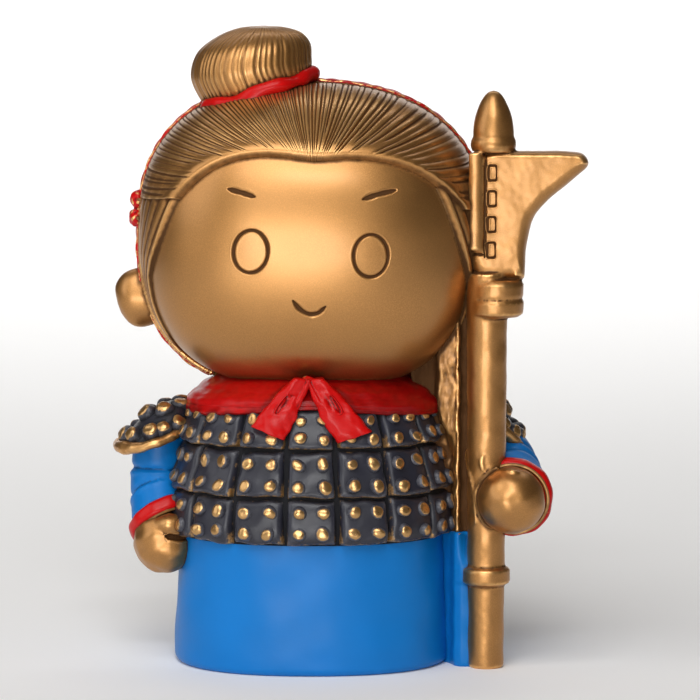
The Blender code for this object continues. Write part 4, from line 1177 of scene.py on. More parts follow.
class GUARD_OT_robe(Operator):
    """Turns the smooth blue robe, with the resin ridge that joins it to the shaft"""

    bl_idname = "guard.robe"
    bl_label = "Robe"

    def execute(self, context):
        foot = ROBE_WIDTH / 2
        hem = [(HEM_ROUNDING * (1 - math.cos(a)), foot - HEM_ROUNDING * (1 - math.sin(a)))
               for a in np.linspace(0, math.pi / 2, 10)]
        side = [(z, foot - WAIST_TAPER * ease(HEM_ROUNDING, ROBE_HEIGHT, z))
                for z in np.linspace(HEM_ROUNDING, ROBE_HEIGHT + 2 * MM, 40)[1:]]
        profile = hem + side
        turn, _ = turn_at(np.linspace(0, 1, 220, endpoint=False))
        grid = np.empty((len(profile), len(turn), 3))
        for i, (z, half) in enumerate(profile):
            folds = 0.09 * MM * np.sin(turn * 9 + 0.6) * ease(0, ROBE_HEIGHT, z)
            x, y = body_ring(turn, half)
            fuller = 1 + folds / half
            grid[i] = level_ring(x * fuller, y * fuller, z)
        mesh = shell("robe", grid)
        lift = ease(0.4 * MM, 3 * MM, coordinates(mesh)[:, 2])
        swell(mesh, 0.07 * MM * lumps(coordinates(mesh), 9 * MM, 6) * lift)
        piece("robe", mesh, "blue_paint")

        front = SHAFT_Y + SHAFT_RADIUS * 0.4
        back = front + 5 * MM
        outline = [
            (18.0, back / MM), (20.4, -4.6), (21.5, -6.6), (22.1, -8.7), (23.2, -9.4), (25.2, -9.3),
            (27.4, -9.0), (27.4, back / MM),
        ]
        plan = soft_outline(np.array(outline) * MM, 3)
        centre = plan.mean(axis=0)
        levels = np.linspace(0, ROBE_HEIGHT + 0.6 * MM, 90)
        rows = []
        for z in levels:
            near_top = ease(ROBE_HEIGHT - 5 * MM, ROBE_HEIGHT, z)
            band = math.exp(-(((z - FOOT_RING_LEVEL) / (0.5 * FOOT_RING_HEIGHT)) ** 6))
            shrink = 1 - 0.06 * (1 - ease(0, 0.5 * MM, z))
            flat = centre + (plan - centre) * shrink
            ahead = np.where(flat[:, 1] < front, 0.35 * MM * band, 0)
            back_off = 1.7 * MM * ease(22.5 * MM, 24 * MM, flat[:, 0]) * near_top
            rows.append(level_ring(flat[:, 0], flat[:, 1] - ahead + back_off, z))
        ridge = shell("robe_ridge", np.array(rows))
        swell(ridge, 0.06 * MM * lumps(coordinates(ridge), 4 * MM, 8))
        piece("robe_ridge", ridge, "blue_paint")
        return {"FINISHED"}


def plate_mesh(width, height, thickness):
    """A pillowed plate on the flat with a slightly raised rim; its rim is marked as rubbed."""
    steps = np.sin(np.linspace(-1, 1, 15) * math.pi / 2)
    u, v = np.meshgrid(steps, steps, indexing="xy")
    crown = ((1 - np.abs(u) ** 9) * (1 - np.abs(v) ** 9)) ** 0.33
    rim = np.maximum(np.abs(u), np.abs(v))
    level = thickness * crown + 0.1 * MM * np.exp(-(((rim - 0.86) / 0.09) ** 2))
    top = np.stack([u * width / 2, v * height / 2, level], axis=2)
    count = len(steps)
    points = top.reshape(-1, 3)
    faces = []
    for i in range(count - 1):
        for j in range(count - 1):
            a = i * count + j
            faces.append([a, a + 1, a + count + 1, a + count])
    rub = ease(0.8, 0.96, rim) * (0.44 + 0.24 * ease(-0.2, -1.0, v))
    mesh = bpy.data.meshes.new("plate")
    mesh.from_pydata(points.tolist(), [], faces)
    mark(mesh, "rub", rub.ravel())
    bm = bmesh.new()
    bm.from_mesh(mesh)
    border = [edge for edge in bm.edges if edge.is_boundary]
    skirt = bmesh.ops.extrude_edge_only(bm, edges=border)["geom"]
    lowered = [item for item in skirt if isinstance(item, bmesh.types.BMVert)]
    bmesh.ops.translate(bm, verts=lowered, vec=(0, 0, -0.5 * MM))
    bmesh.ops.holes_fill(bm, edges=[edge for edge in bm.edges if edge.is_boundary])
    bmesh.ops.recalc_face_normals(bm, faces=bm.faces)
    bm.to_mesh(mesh)
    bm.free()
    return mesh


def lamellar_tree():
    """Rows and columns of plates laid on the flat, with four studs on each."""
    lengths = ("Pitch Across", "Pitch Up", "Stud Across", "Stud Up", "Stud Level")
    inputs = [("Columns", "NodeSocketInt"), ("Rows", "NodeSocketInt")]
    inputs += [(name, "NodeSocketFloat") for name in lengths]
    inputs += [("Plate", "NodeSocketObject"), ("Stud", "NodeSocketObject")]
    inputs += [("Seed", "NodeSocketInt"), ("Material", "NodeSocketMaterial")]
    tree = new_tree("studded_plates", inputs)
    given = tree.nodes.new("NodeGroupInput").outputs

    def random_vector(low, high, shift):
        seed = tree_maths(tree, "ADD", given["Seed"], shift)
        made = tree_node(tree, "FunctionNodeRandomValue", {"data_type": "FLOAT_VECTOR"}, Seed=seed)
        made.inputs[0].default_value, made.inputs[1].default_value = low, high
        return made.outputs[0]

    grid = tree_node(tree, "GeometryNodeMeshGrid", Vertices_X=given["Columns"], Vertices_Y=given["Rows"])
    spans = (("Size X", "Columns", "Pitch Across"), ("Size Y", "Rows", "Pitch Up"))
    for size, number, pitch in spans:
        steps = tree_maths(tree, "SUBTRACT", given[number], 1.0)
        tree.links.new(tree_maths(tree, "MULTIPLY", steps, given[pitch]), grid.inputs[size])
    plate = tree_node(tree, "GeometryNodeObjectInfo", {"transform_space": "ORIGINAL"}, Object=given["Plate"])
    stud = tree_node(tree, "GeometryNodeObjectInfo", {"transform_space": "ORIGINAL"}, Object=given["Stud"])
    plates = tree_node(
        tree, "GeometryNodeInstanceOnPoints", Points=grid.outputs[0], Instance=plate.outputs["Geometry"],
        Rotation=random_vector((-0.03, -0.04, -0.03), (0.03, 0.04, 0.03), 1),
        Scale=random_vector((0.95, 0.95, 0.9), (1.02, 1.02, 1.1), 2),
    )
    four = tree_node(tree, "GeometryNodeMeshGrid", Size_X=given["Stud Across"], Size_Y=given["Stud Up"],
                     Vertices_X=2, Vertices_Y=2)
    seats = tree_node(tree, "GeometryNodeInstanceOnPoints", Points=grid.outputs[0], Instance=four.outputs[0])
    seats = tree_node(tree, "GeometryNodeRealizeInstances", Geometry=seats.outputs[0])
    nudge = random_vector((-0.17 * MM, -0.17 * MM, -0.1 * MM), (0.17 * MM, 0.17 * MM, 0.1 * MM), 3)
    lift = tree.nodes.new("ShaderNodeCombineXYZ")
    tree.links.new(given["Stud Level"], lift.inputs["Z"])
    shift = tree_node(tree, "ShaderNodeVectorMath", {"operation": "ADD"})
    tree.links.new(nudge, shift.inputs[0])
    tree.links.new(lift.outputs[0], shift.inputs[1])
    seats = tree_node(tree, "GeometryNodeSetPosition", Geometry=seats.outputs[0], Offset=shift.outputs[0])
    studs = tree_node(
        tree, "GeometryNodeInstanceOnPoints", Points=seats.outputs[0], Instance=stud.outputs["Geometry"],
        Rotation=random_vector((-0.18, -0.18, 0.0), (0.18, 0.18, 3.0), 4),
        Scale=random_vector((0.86, 0.86, 0.8), (1.1, 1.1, 1.15), 5),
    )
    together = tree.nodes.new("GeometryNodeJoinGeometry")
    tree.links.new(studs.outputs[0], together.inputs[0])
    tree.links.new(plates.outputs[0], together.inputs[0])
    return end_tree(tree, together.outputs[0], given["Material"])


class GUARD_OT_armour(Operator):
    """Lays out the studded plates with Geometry Nodes and wraps them round the trunk"""

    bl_idname = "guard.armour"
    bl_label = "Armour"

    def execute(self, context):
        settings = context.scene.guard_armour
        _, around = turn_at(np.zeros(1))
        pitch = around / settings.columns
        width, height = pitch - settings.gap, LAME_PITCH - settings.gap * 0.7
        values = {
            "Columns": settings.columns, "Rows": LAME_ROWS, "Pitch Across": pitch, "Pitch Up": LAME_PITCH,
            "Stud Across": width * 0.49, "Stud Up": height * 0.47,
            "Stud Level": settings.thickness - 0.15 * MM,
            "Plate": kept_form("plate", plate_mesh(width, height, settings.thickness)),
            "Stud": kept_form("stud", bead_mesh(settings.stud_radius, settings.stud_height)),
            "Seed": settings.seed, "Material": bpy.data.materials["iron_paint" + FINISH],
        }
        flat = line_mesh([(0, 0, 0), (MM, 0, 0)])
        mesh = grown("plates", flat, lamellar_tree(), values)
        points = coordinates(mesh)
        across, up, out = points.T
        up = up + LAME_ROWS * LAME_PITCH / 2
        up = up - 0.9 * MM * ease(16.5 * MM, LAME_ROWS * LAME_PITCH, up)
        row_up = (np.mod(up, LAME_PITCH) / LAME_PITCH - 0.5) * 2
        out = out - 0.5 * MM * row_up * ease(-0.2 * MM, 0.4 * MM, out)
        z = ROBE_HEIGHT + up
        turn, _ = turn_at((across + pitch / 2) / around)
        half = chest_half_width(z)
        x, y = body_ring(turn, half)
        length = np.hypot(x, y)
        wobble = 0.1 * MM * lumps(points, 2.2 * MM, 12)
        grow = 1 + (out + wobble) / length
        move(mesh, np.stack([x * grow, y * grow, z + 0.12 * MM * lumps(points, 3 * MM, 13)], axis=1))
        piece("armour_plates", mesh, "iron_paint")

        turn, _ = turn_at(np.linspace(0, 1, 120, endpoint=False))
        rows = []
        for z in np.linspace(ROBE_HEIGHT, ARMOUR_TOP, 20):
            rows.append(level_ring(*body_ring(turn, chest_half_width(z), 0.15 * MM), z))
        lining = shell("armour_lining", np.array(rows))
        # Painted shade: the lining seen in the gaps between the plates is marked fully hollow, so the paint
        # turns it near-black as shadow
        mark(lining, "hollow", 1.0)
        piece("armour_lining", lining, "iron_paint")
        return {"FINISHED"}


class GUARD_OT_scarf(Operator):
    """Wraps the red scarf round the neck and lays its two creased tails over the chest"""

    bl_idname = "guard.scarf"
    bl_label = "Scarf"

    def tail(self, side, knot, seed, ends, slit):
        """One tail: a flat widening end with creases, and a worn slit drawn in the front view."""
        length = SCARF_TAIL
        inner = curve_through(((-0.05, 0.14), (0.07, -0.16), (0.21, -0.48), ends[0]), 48)
        outer = curve_through(((0.22, 0.16), (0.45, -0.06), (0.66, -0.3), ends[1]), 48)
        columns = 64
        turn = np.linspace(0, 2 * math.pi, columns, endpoint=False)
        across, over = signed_power(np.cos(turn), 0.45), signed_power(np.sin(turn), 0.55)
        middle, half = (inner + outer) / 2, (outer - inner) / 2
        share = np.linspace(0, 1, len(middle))
        grid = np.empty((len(middle), columns, 3))
        flat = middle[:, None] + half[:, None] * across[None, :, None]
        grid[..., 0] = knot[0] + side * flat[..., 0] * length
        grid[..., 2] = knot[2] + flat[..., 1] * length
        slanted = np.exp(-(((across[None, :] - 0.15 + 0.2 * share[:, None]) / 0.13) ** 2))
        straight = np.exp(-(((across[None, :] + 0.45) / 0.12) ** 2))
        creases = slanted * (1 - ease(0.35, 0.62, share))[:, None]
        creases = creases + 0.7 * straight * (1 - ease(0.25, 0.5, share))[:, None]
        swells = 0.2 * np.cos(across * 3.4 + seed)[None, :] * ease(0, 0.5, share)[:, None]
        proud = (1.15 + swells - 0.75 * creases) * MM
        front = knot[1] + 0.12 * np.minimum(flat[..., 1], 0) * length
        grid[..., 1] = front - np.where(over[None, :] > 0, over[None, :] * proud, over[None, :] * 2.2 * MM)
        mesh = shell("scarf_tail", grid)
        swell(mesh, 0.09 * MM * lumps(coordinates(mesh), 2.0 * MM, 20 + seed))
        start, end = np.array(slit) * MM
        aside = np.array([end[1] - start[1], start[0] - end[0]])
        turn = np.linspace(0, 2 * math.pi, 41)
        lens = (start + end) / 2 + np.cos(turn)[:, None] * (end - start) / 2
        lens = lens + 0.08 * np.sin(turn)[:, None] * aside
        engrave(mesh, [lens], 0.3 * MM, 0.3 * MM, lip=0.3)
        points = coordinates(mesh)
        gap = near_strokes(points[:, [0, 2]], [lens])[0][0]
        worn = np.exp(-(((gap - 0.16 * MM) / (0.13 * MM)) ** 2)) * (normals(mesh)[:, 1] < -0.3)
        mark(mesh, "rub", 0.45 * worn)
        mark(mesh, "calm", 0.85)
        piece("scarf_tail_left" if side > 0 else "scarf_tail_right", mesh, "red_paint")

    def execute(self, context):
        collar = float(chest_half_width(ARMOUR_TOP))
        run = (
            (-0.24, -0.3), (-0.22, 1.3), (-0.06, 1.5), (0.12, 1.2), (0.33, 0.3), (0.54, -1.2), (0.72, -2.8),
        )
        profile = curve_through(run, 54)
        turn = np.linspace(0, 2 * math.pi, 300, endpoint=False)
        up, out = profile[:, 0][:, None], profile[:, 1][:, None]
        share = np.linspace(0, 1, len(profile))[:, None]
        wraps = np.abs(np.sin(math.pi * (share * 3.2 + 0.28 * np.sin(turn * 2 + 0.4)[None, :]))) ** 0.6
        fine = np.sin(share * 46 + 2.2 * np.sin(turn * 3)[None, :]) * np.sin(turn * 2.0 + 1)[None, :]
        shown = ease(0.12, 0.3, share)
        half = collar + out * SCARF_FLARE + shown * (0.3 * MM * (wraps - 0.6) + 0.05 * MM * fine)
        x = half * signed_power(np.sin(turn), 2 / BODY_SQUARENESS)
        y = half * ROBE_DEPTH / ROBE_WIDTH * signed_power(-np.cos(turn), 2 / BODY_SQUARENESS)
        z = ARMOUR_TOP + up * SCARF_HEIGHT - SCARF_SAG * np.abs(np.sin(turn))[None, :] * (1 - up)
        x = x + 1.2 * MM * np.maximum(np.sin(turn), 0)[None, :] ** 2
        mesh = shell("scarf", np.stack([x, y, z], axis=2))
        swell(mesh, 0.08 * MM * lumps(coordinates(mesh), 3.5 * MM, 15))
        # Painted shade: the whole collar is darkened as in the head's shadow, more towards +X, the side away
        # from the lamps
        mark(mesh, "hollow", 0.55 + 0.35 * ease(-14 * MM, 16 * MM, coordinates(mesh)[:, 0]))
        mark(mesh, "calm", 0.9)
        piece("scarf", mesh, "red_paint")
        front = -(collar + SCARF_FLARE) * ROBE_DEPTH / ROBE_WIDTH
        knot = (-0.4 * MM, front, ARMOUR_TOP + SCARF_HEIGHT * 0.42)
        tails = ((-1, ((0.35, -0.74), (0.84, -0.54)), ((-3.52, 43.3), (-5.35, 40.8))),
                 (1, ((0.43, -0.785), (0.93, -0.62)), ((2.9, 43.3), (4.5, 40.9))))
        for seed, (side, ends, slit) in enumerate(tails):
            self.tail(side, knot, seed, ends, slit)
        pinch = ball(np.array(knot) + np.array([0.0, 0.8, 0.8]) * MM, (1.5 * MM, 1.0 * MM, 1.1 * MM), 20, 40)
        swell(pinch, 0.08 * MM * lumps(coordinates(pinch), 1.6 * MM, 26))
        piece("scarf_knot", pinch, "red_paint")
        return {"FINISHED"}


# Arms


def arm_tube(knots, radii, creases):
    """A sleeve through the knots; creases are (share along, slant, width, depth) grooves over its front."""
    rows, columns = 110, 90
    path = curve_through(knots, rows)
    size = curve_through([[r] for r in radii], rows)[:, 0]
    along = np.gradient(path, axis=0)
    along /= np.linalg.norm(along, axis=1)[:, None]
    across = np.cross(np.array([0.0, 1.0, 0.0]), along)
    across /= np.linalg.norm(across, axis=1)[:, None]
    over = np.cross(along, across)
    turn = np.linspace(0, 2 * math.pi, columns, endpoint=False)
    share = np.linspace(0, 1, rows)[:, None]
    sunk = np.zeros((rows, columns))
    for at, slant, width, depth in creases:
        gap = (share - at - slant * np.cos(turn)[None, :]) / width
        sunk += depth * np.exp(-(gap**2)) - 0.35 * depth * np.exp(-((gap - 1.9) ** 2))
    ring = across[:, None] * np.cos(turn)[None, :, None] + over[:, None] * np.sin(turn)[None, :, None] * 1.08
    return shell("sleeve", path[:, None] + ring * (size[:, None] - sunk)[..., None])


def hand_over(centre, radii, seed, extra):
    """A closed fist fused from rounded lumps."""
    parts = [ball(centre, radii, 40, 60)] + extra
    mesh = fused("fist", parts, 0.21 * MM, 3)
    swell(mesh, 0.06 * MM * lumps(coordinates(mesh), 3 * MM, seed))
    return mesh


class GUARD_OT_shoulders(Operator):
    """Seats the gold brims and beaded domes on both shoulders"""

    bl_idname = "guard.shoulders"
    bl_label = "Shoulder guards"

    def pad(self, name, centre, tilt, seed, rise=1.0):
        """One guard: a rolled brim, a dome and its beads."""
        side = math.copysign(1, centre[0])
        pose = Matrix.Translation(centre) @ Matrix.Rotation(side * tilt, 4, "Y")
        turn = np.linspace(0, 2 * math.pi, 120, endpoint=False)
        section = np.linspace(0, 2 * math.pi, 22, endpoint=False)
        lip = 0.9 * MM * (1 + 0.18 * np.sin(turn * 3 + seed))[:, None]
        reach = BRIM_RADIUS * 0.9 + lip * np.cos(section)[None, :]
        x, y = reach * np.cos(turn)[:, None], reach * BRIM_DEPTH / BRIM_RADIUS * np.sin(turn)[:, None]
        z = lip * 0.95 * np.sin(section)[None, :] + 0.35 * MM * np.sin(turn * 2 + seed)[:, None]
        rim = shell("rim", np.stack([x, y, z], axis=2), round_trip=True)
        plate = ball((0, 0, 0), (BRIM_RADIUS * 0.93, BRIM_RADIUS * 1.07, 0.75 * MM), 20, 60)
        brim = fused("brim", [rim, plate], 0.28 * MM, 3)
        brim.transform(pose)
        swell(brim, 0.12 * MM * lumps(coordinates(brim), 3.2 * MM, seed))
        piece(f"{name}_brim", brim, "gold_paint")

        def seat(share_out, level, angle):
            shift = -side * level * PAD_HEIGHT * 0.75
            return np.array([BRIM_RADIUS * share_out * math.cos(angle) + shift,
                             BRIM_DEPTH * share_out * math.sin(angle), level * PAD_HEIGHT * rise])

        dome = ball((0, 0, 0), (1, 1, 1), 30, 60)
        points = coordinates(dome)
        level = np.clip(points[:, 2], 0, 1)
        points[:, 0] = points[:, 0] * BRIM_RADIUS * 0.82 - side * level * 0.7 * PAD_HEIGHT
        points[:, 1] *= BRIM_DEPTH * 0.82
        points[:, 2] = np.where(points[:, 2] > 0, points[:, 2] * PAD_HEIGHT * 0.85 * rise, points[:, 2] * MM)
        move(dome, points)
        dome.transform(pose)
        piece(f"{name}_dome", outward(dome), "iron_paint")
        stud = bead_mesh(1.42 * MM, 1.5 * MM, 8, 18)
        studs = []
        random = np.random.default_rng(seed)
        for share_out, level, count in ((0.74, 0.22, 12), (0.42, 0.64, 6)):
            for i in range(count):
                angle = 2 * math.pi * (i + 0.5) / count + random.uniform(-0.12, 0.12)
                out = Vector((math.cos(angle) * share_out, math.sin(angle) * share_out, 0.7)).normalized()
                size = random.uniform(0.85, 1.12)
                outward_turn = out.to_track_quat("Z", "Y").to_matrix().to_4x4()
                place = Matrix.Translation(seat(share_out, level, angle)) @ outward_turn
                copy = stud.copy()
                copy.transform(pose @ place @ Matrix.Scale(size, 4))
                studs.append(copy)
        beads = joined("beads", studs)
        swell(beads, 0.08 * MM * lumps(coordinates(beads), 1.6 * MM, seed + 2))
        piece(f"{name}_beads", beads, "iron_paint")

    def execute(self, context):
        right = (-SHOULDER_X - 1.1 * MM, 0, BRIM_LEVEL)
        left = (SHOULDER_X + 5.2 * MM, 3.4 * MM, BRIM_LEVEL + 1.9 * MM)
        self.pad("right_shoulder", right, math.radians(15), 2)
        self.pad("left_shoulder", left, math.radians(40), 5, 0.55)
        return {"FINISHED"}


def cuff_meshes(wrist, axis, radius, width, seed):
    """A folded red band round a wrist, and the thin gold line inside its mouth."""
    axis = np.array(axis) / np.linalg.norm(axis)
    across = np.cross(np.array([0.0, 1.0, 0.0]), axis)
    across /= np.linalg.norm(across)
    over = np.cross(axis, across)
    turn = np.linspace(0, 2 * math.pi, 120, endpoint=False)
    section = np.linspace(0, 2 * math.pi, 24, endpoint=False)
    folds = 1 + 0.012 * np.sin(turn * 5 + seed) + 0.008 * np.sin(turn * 11)
    ring = across * np.cos(turn)[:, None] + over * np.sin(turn)[:, None]
    half = width * (1 + 0.08 * np.sin(turn * 3 + seed))[:, None]
    along = signed_power(np.sin(section), 0.7)[None, :] * half
    reach = radius * folds[:, None] - 0.9 * MM + signed_power(np.cos(section), 0.7)[None, :] * 0.9 * MM
    centre = np.asarray(wrist)
    band = shell("cuff", centre + axis * along[..., None] + ring[:, None] * reach[..., None], round_trip=True)
    line = centre + axis * width + ring * (radius - 0.75 * MM)
    return band, swept(line, 0.3 * MM, 12, up=tuple(axis), round_trip=True)


class GUARD_OT_arms(Operator):
    """Builds the creased sleeves, the cuffs and the two fists"""

    bl_idname = "guard.arms"
    bl_label = "Arms"

    def lowered(self):
        """The right arm, hanging, with an empty fist."""
        shoulder = np.array([-SHOULDER_X - 0.4 * MM, 0.5 * MM, BRIM_LEVEL])
        wrist = shoulder + np.array([0.6, -3.6, -12.4]) * MM
        knots = [shoulder, shoulder + np.array([-0.1, -0.5, -7.0]) * MM, wrist]
        radii = [SLEEVE_RADIUS * 0.8, SLEEVE_RADIUS * 0.89, SLEEVE_RADIUS * 0.97]
        creases = ((0.36, -0.02, 0.03, 0.5 * MM), (0.6, 0.07, 0.034, 0.55 * MM))
        tube = arm_tube(knots, radii, creases)
        fill = ball(shoulder + np.array([5.2, 1.2, -5.5]) * MM, (5.4 * MM, 4.4 * MM, 7.6 * MM))
        sleeve = fused("sleeve", [tube, fill], 0.28 * MM, 2)
        piece("right_sleeve", sleeve, "blue_paint")
        hand = wrist + np.array([-0.1, -2.2, -3.1]) * MM
        axis = np.array([0.42, -0.5, -0.75])
        band, line = cuff_meshes(wrist + axis * 0.2 * MM, axis, SLEEVE_RADIUS * 0.98 + 0.8 * MM, 1.15 * MM, 1)
        piece("right_cuff", band, "red_paint")
        piece("right_cuff_line", line, "gold_paint")
        course = ((-0.4, -2.6, 2.6), (1.4, -2.9, 2.7), (3.4, -2.2, 2.2), (4.8, -1.0, 1.7))
        thumb = curve_through([hand + np.array(p) * MM for p in course], 24)
        size = np.interp(np.linspace(0, 1, 24), (0, 0.3, 0.75, 1), (1.3, 1.85, 1.7, 0.7)) * MM
        fingers = ball(hand + np.array([0.9, -0.4, -0.9]) * MM, (4.1 * MM, 4.3 * MM, 4.2 * MM))
        extra = [swept(thumb, size, 24), fingers]
        mesh = hand_over(hand, (4.3 * MM, 4.6 * MM, 5.15 * MM), 6, extra)
        beneath = ((0.9, 1.2), (2.4, 0.9), (4.2, 0.7), (5.6, 0.7))
        slit = np.array([hand[[0, 2]] + np.array(p) * MM for p in beneath])
        engrave(mesh, [slit], 0.9 * MM, 0.6 * MM, rounds=1)
        piece("right_fist", mesh, "gold_paint")

    def raised(self):
        """The left arm, bent forward, with the fist that holds the shaft."""
        hand = np.array([SHAFT_X + 3.75 * MM, SHAFT_Y - 3.4 * MM, RAISED_HAND_LEVEL - 0.6 * MM])
        wrist = hand + np.array([0.8, 3.6, 0.2]) * MM
        knots = [np.array([SHOULDER_X + 1.6 * MM, 3 * MM, BRIM_LEVEL]),
                 np.array([SHOULDER_X + 6 * MM, 3 * MM, BRIM_LEVEL - 4 * MM]), wrist]
        creases = (
            (0.35, 0.03, 0.035, 0.3 * MM), (0.62, -0.04, 0.035, 0.35 * MM), (0.8, 0.03, 0.03, 0.3 * MM),
        )
        tube = arm_tube(knots, [SLEEVE_RADIUS, SLEEVE_RADIUS * 1.06, RAISED_HAND_RADIUS], creases)
        fill = ball((SHOULDER_X + 1.5 * MM, 0, BRIM_LEVEL - 4 * MM), (5.5 * MM, 5.2 * MM, 6 * MM))
        piece("left_sleeve", fused("sleeve", [tube, fill], 0.28 * MM, 2), "blue_paint")
        axis = np.array([-0.12, -0.98, -0.1])
        mouth = hand + np.array([0.45, 3.0, 0.1]) * MM
        band, line = cuff_meshes(mouth, axis, RAISED_HAND_RADIUS + 0.95 * MM, 1.3 * MM, 4)
        piece("left_cuff", band, "red_paint")
        piece("left_cuff_line", line, "gold_paint")
        turn = np.radians(np.linspace(112, 238, 60))
        reach = (5.45 + 0.1 * np.sin(turn * 7)) * MM
        socket = hand + np.stack([np.cos(turn) * reach, np.full(60, 0.5 * MM), np.sin(turn) * reach], axis=1)
        rim = swept(socket, 0.3 * MM * np.sin(np.linspace(0.2, math.pi - 0.2, 60)) ** 0.4, 12)
        knuckle = hand + curve_through(((-1.0, -1.9, 4.75), (0.2, -2.3, 4.7), (1.2, -1.9, 4.4)), 16) * MM
        plump = 0.42 * MM * np.sin(np.linspace(0.3, math.pi - 0.3, 16)) ** 0.5
        knuckle = swept(knuckle, plump, 12, up=(0, 1, 0.2))
        grip = ball(hand + np.array([-1.7, 2.9, 0]) * MM, (4.3 * MM, 2.9 * MM, 4.7 * MM))
        mesh = hand_over(hand, (RAISED_HAND_RADIUS,) * 3, 7, [rim, grip, knuckle])
        piece("left_fist", mesh, "gold_paint")

    def execute(self, context):
        self.lowered()
        self.raised()
        return {"FINISHED"}


class GUARD_OT_dagger_axe(Operator):
    """Casts the shaft, the rings, the slotted blade, the spike and the rough web of resin beside them"""

    bl_idname = "guard.dagger_axe"
    bl_label = "Dagger-axe"

    def blade(self):
        """The beaked blade, softly bevelled, with a straight back inside the head."""
        run = (
            (0.37, 0.0), (0.375, 0.14), (0.395, 0.29), (0.455, 0.475), (0.575, 0.6), (0.78, 0.735),
            (0.935, 0.84), (0.985, 0.88), (0.99, 0.92), (0.955, 0.965), (0.88, 0.992), (0.6, 1.0),
        )
        edge = curve_through(run, 40)
        back = -BLADE_BACK / BLADE_REACH
        outline = np.array(edge.tolist() + [(back, 1.0), (back, 0.0)])
        plan = soft_outline(outline, 8) * np.array([BLADE_REACH, BLADE_HEIGHT])
        ahead = np.roll(plan, -1, axis=0) - np.roll(plan, 1, axis=0)
        inward = np.stack([-ahead[:, 1], ahead[:, 0]], axis=1)
        inward /= np.linalg.norm(inward, axis=1)[:, None]
        rounding = 0.7 + 1.1 * ease(0.3, -0.4, -inward[:, 1])
        rows = []
        for angle in np.linspace(-math.pi / 2, math.pi / 2, 15):
            inset = (rounding * MM * (1 - math.cos(angle)))[:, None]
            y = SHAFT_Y + BLADE_THICKNESS / 2 * math.sin(angle)
            flat = plan + inward * inset
            row = [SHAFT_X + flat[:, 0], np.full(len(flat), y), BLADE_FOOT + flat[:, 1]]
            rows.append(np.stack(row, axis=1))
        # The flat sides close on a point inside that sees the whole of the hollow outline
        heart = np.array([SHAFT_X + 0.1 * BLADE_REACH, 0.0, BLADE_FOOT + 0.8 * BLADE_HEIGHT])
        ends = []
        for row in (rows[0], rows[-1]):
            middle = heart + np.array([0.0, row[0, 1], 0.0])
            ends.append(middle + (row - middle) * 0.02)
        return shell("blade", np.array([ends[0], *rows, ends[1]]))

    def shaft(self):
        """The shaft, a little stouter at the top, with its foot ring and its banded neck ring."""
        foot, rounded = (SHAFT_X, SHAFT_Y, 0), 0.3 * MM
        slim, stout = SHAFT_RADIUS * 0.92, SHAFT_RADIUS * 1.06
        pole = turned(foot, [(0, slim * 0.93), (rounded, slim), (BLADE_FOOT + MM, stout)])
        low, high = FOOT_RING_LEVEL - FOOT_RING_HEIGHT / 2, FOOT_RING_LEVEL + FOOT_RING_HEIGHT / 2
        ring = slim + 0.95 * MM
        profile = [(low, ring * 0.9), (low + rounded, ring), (high - rounded, ring), (high, ring * 0.9)]
        foot_ring = turned(foot, profile)
        neck = stout + 1.1 * MM
        bands = ((0, 0.8), (0.1, 0.98), (0.42, 1.0), (0.5, 0.9), (0.56, 0.97), (0.88, 0.97), (1.0, 0.84))
        profile = [(h * NECK_RING_HEIGHT, neck * r) for h, r in bands]
        neck_ring = turned((SHAFT_X + 1.3 * MM, SHAFT_Y, BLADE_FOOT - NECK_RING_HEIGHT), profile, lean=(0.05, 0))
        return [pole, foot_ring, neck_ring]

    def spike(self):
        """The rounded spike on its collar, seated on top of the blade."""
        collar = ((0, 1.03), (0.35, 1.12), (0.7, 1.1), (1.0, 0.97))
        profile = [(SPIKE_COLLAR * h, SPIKE_RADIUS * r) for h, r in collar]
        height, tip = SPIKE_HEIGHT - 0.7 * MM, 0.01 * MM
        for s in np.linspace(0, 1, 40)[1:]:
            profile.append((SPIKE_COLLAR + s * height, SPIKE_RADIUS * math.sqrt(max(1 - s**1.75, 0)) + tip))
        return turned((SHAFT_X + 0.9 * MM, SHAFT_Y, BLADE_TOP - 0.05 * MM), profile)

    def strip(self):
        """The thin upright strip on the blade, beside its slots."""
        x, y = SHAFT_X - 1.9 * MM, SHAFT_Y - BLADE_THICKNESS / 2 + 0.25 * MM
        path = [(x, y, z) for z in np.linspace(BLADE_FOOT + 4.6 * MM, BLADE_TOP - 0.1 * MM, 30)]
        return swept(path, 1.1 * MM, 20, squash=0.62, up=(0, 1, 0))

    def slots(self, mesh):
        """Engraves the frames of the blade's four slots, and the seams beside and under the strip."""
        turn = np.linspace(0, 2 * math.pi, 33)
        frame_line = np.stack([signed_power(np.cos(turn), 0.35), signed_power(np.sin(turn), 0.35)], axis=1)
        half, pitch, shift = np.array([0.62, 1.15]) * MM, 3.95 * MM, 0.06 * MM
        strokes = []
        for i in range(4):
            middle = np.array([SHAFT_X + 0.72 * MM - shift * (3 - i), BLADE_FOOT + 4.7 * MM + pitch * i])
            strokes.append(middle + frame_line * half)
        engrave(mesh, strokes, 0.4 * MM, 0.3 * MM, lip=0.05)
        step = BLADE_FOOT + 4.0 * MM
        beside = np.array([[SHAFT_X - 0.45 * MM, step - 0.4 * MM], [SHAFT_X - 0.3 * MM, BLADE_TOP - 0.5 * MM]])
        under = np.array([[SHAFT_X - 3.6 * MM, step], [SHAFT_X - 0.5 * MM, step]])
        engrave(mesh, [beside, under], 0.55 * MM, 0.4 * MM, lip=0.0, rounds=1)

    def execute(self, context):
        parts = [*self.shaft(), self.spike(), self.blade(), self.strip(), *self.folds()]
        mesh = fused("dagger_axe", parts, 0.25 * MM, 3)
        points = coordinates(mesh)
        swell(mesh, (0.035 * lumps(points, 5 * MM, 14) + 0.008 * lumps(points, 1.2 * MM, 15)) * MM)
        self.slots(mesh)
        piece("dagger_axe", mesh, "gold_paint")
        self.web()
        return {"FINISHED"}

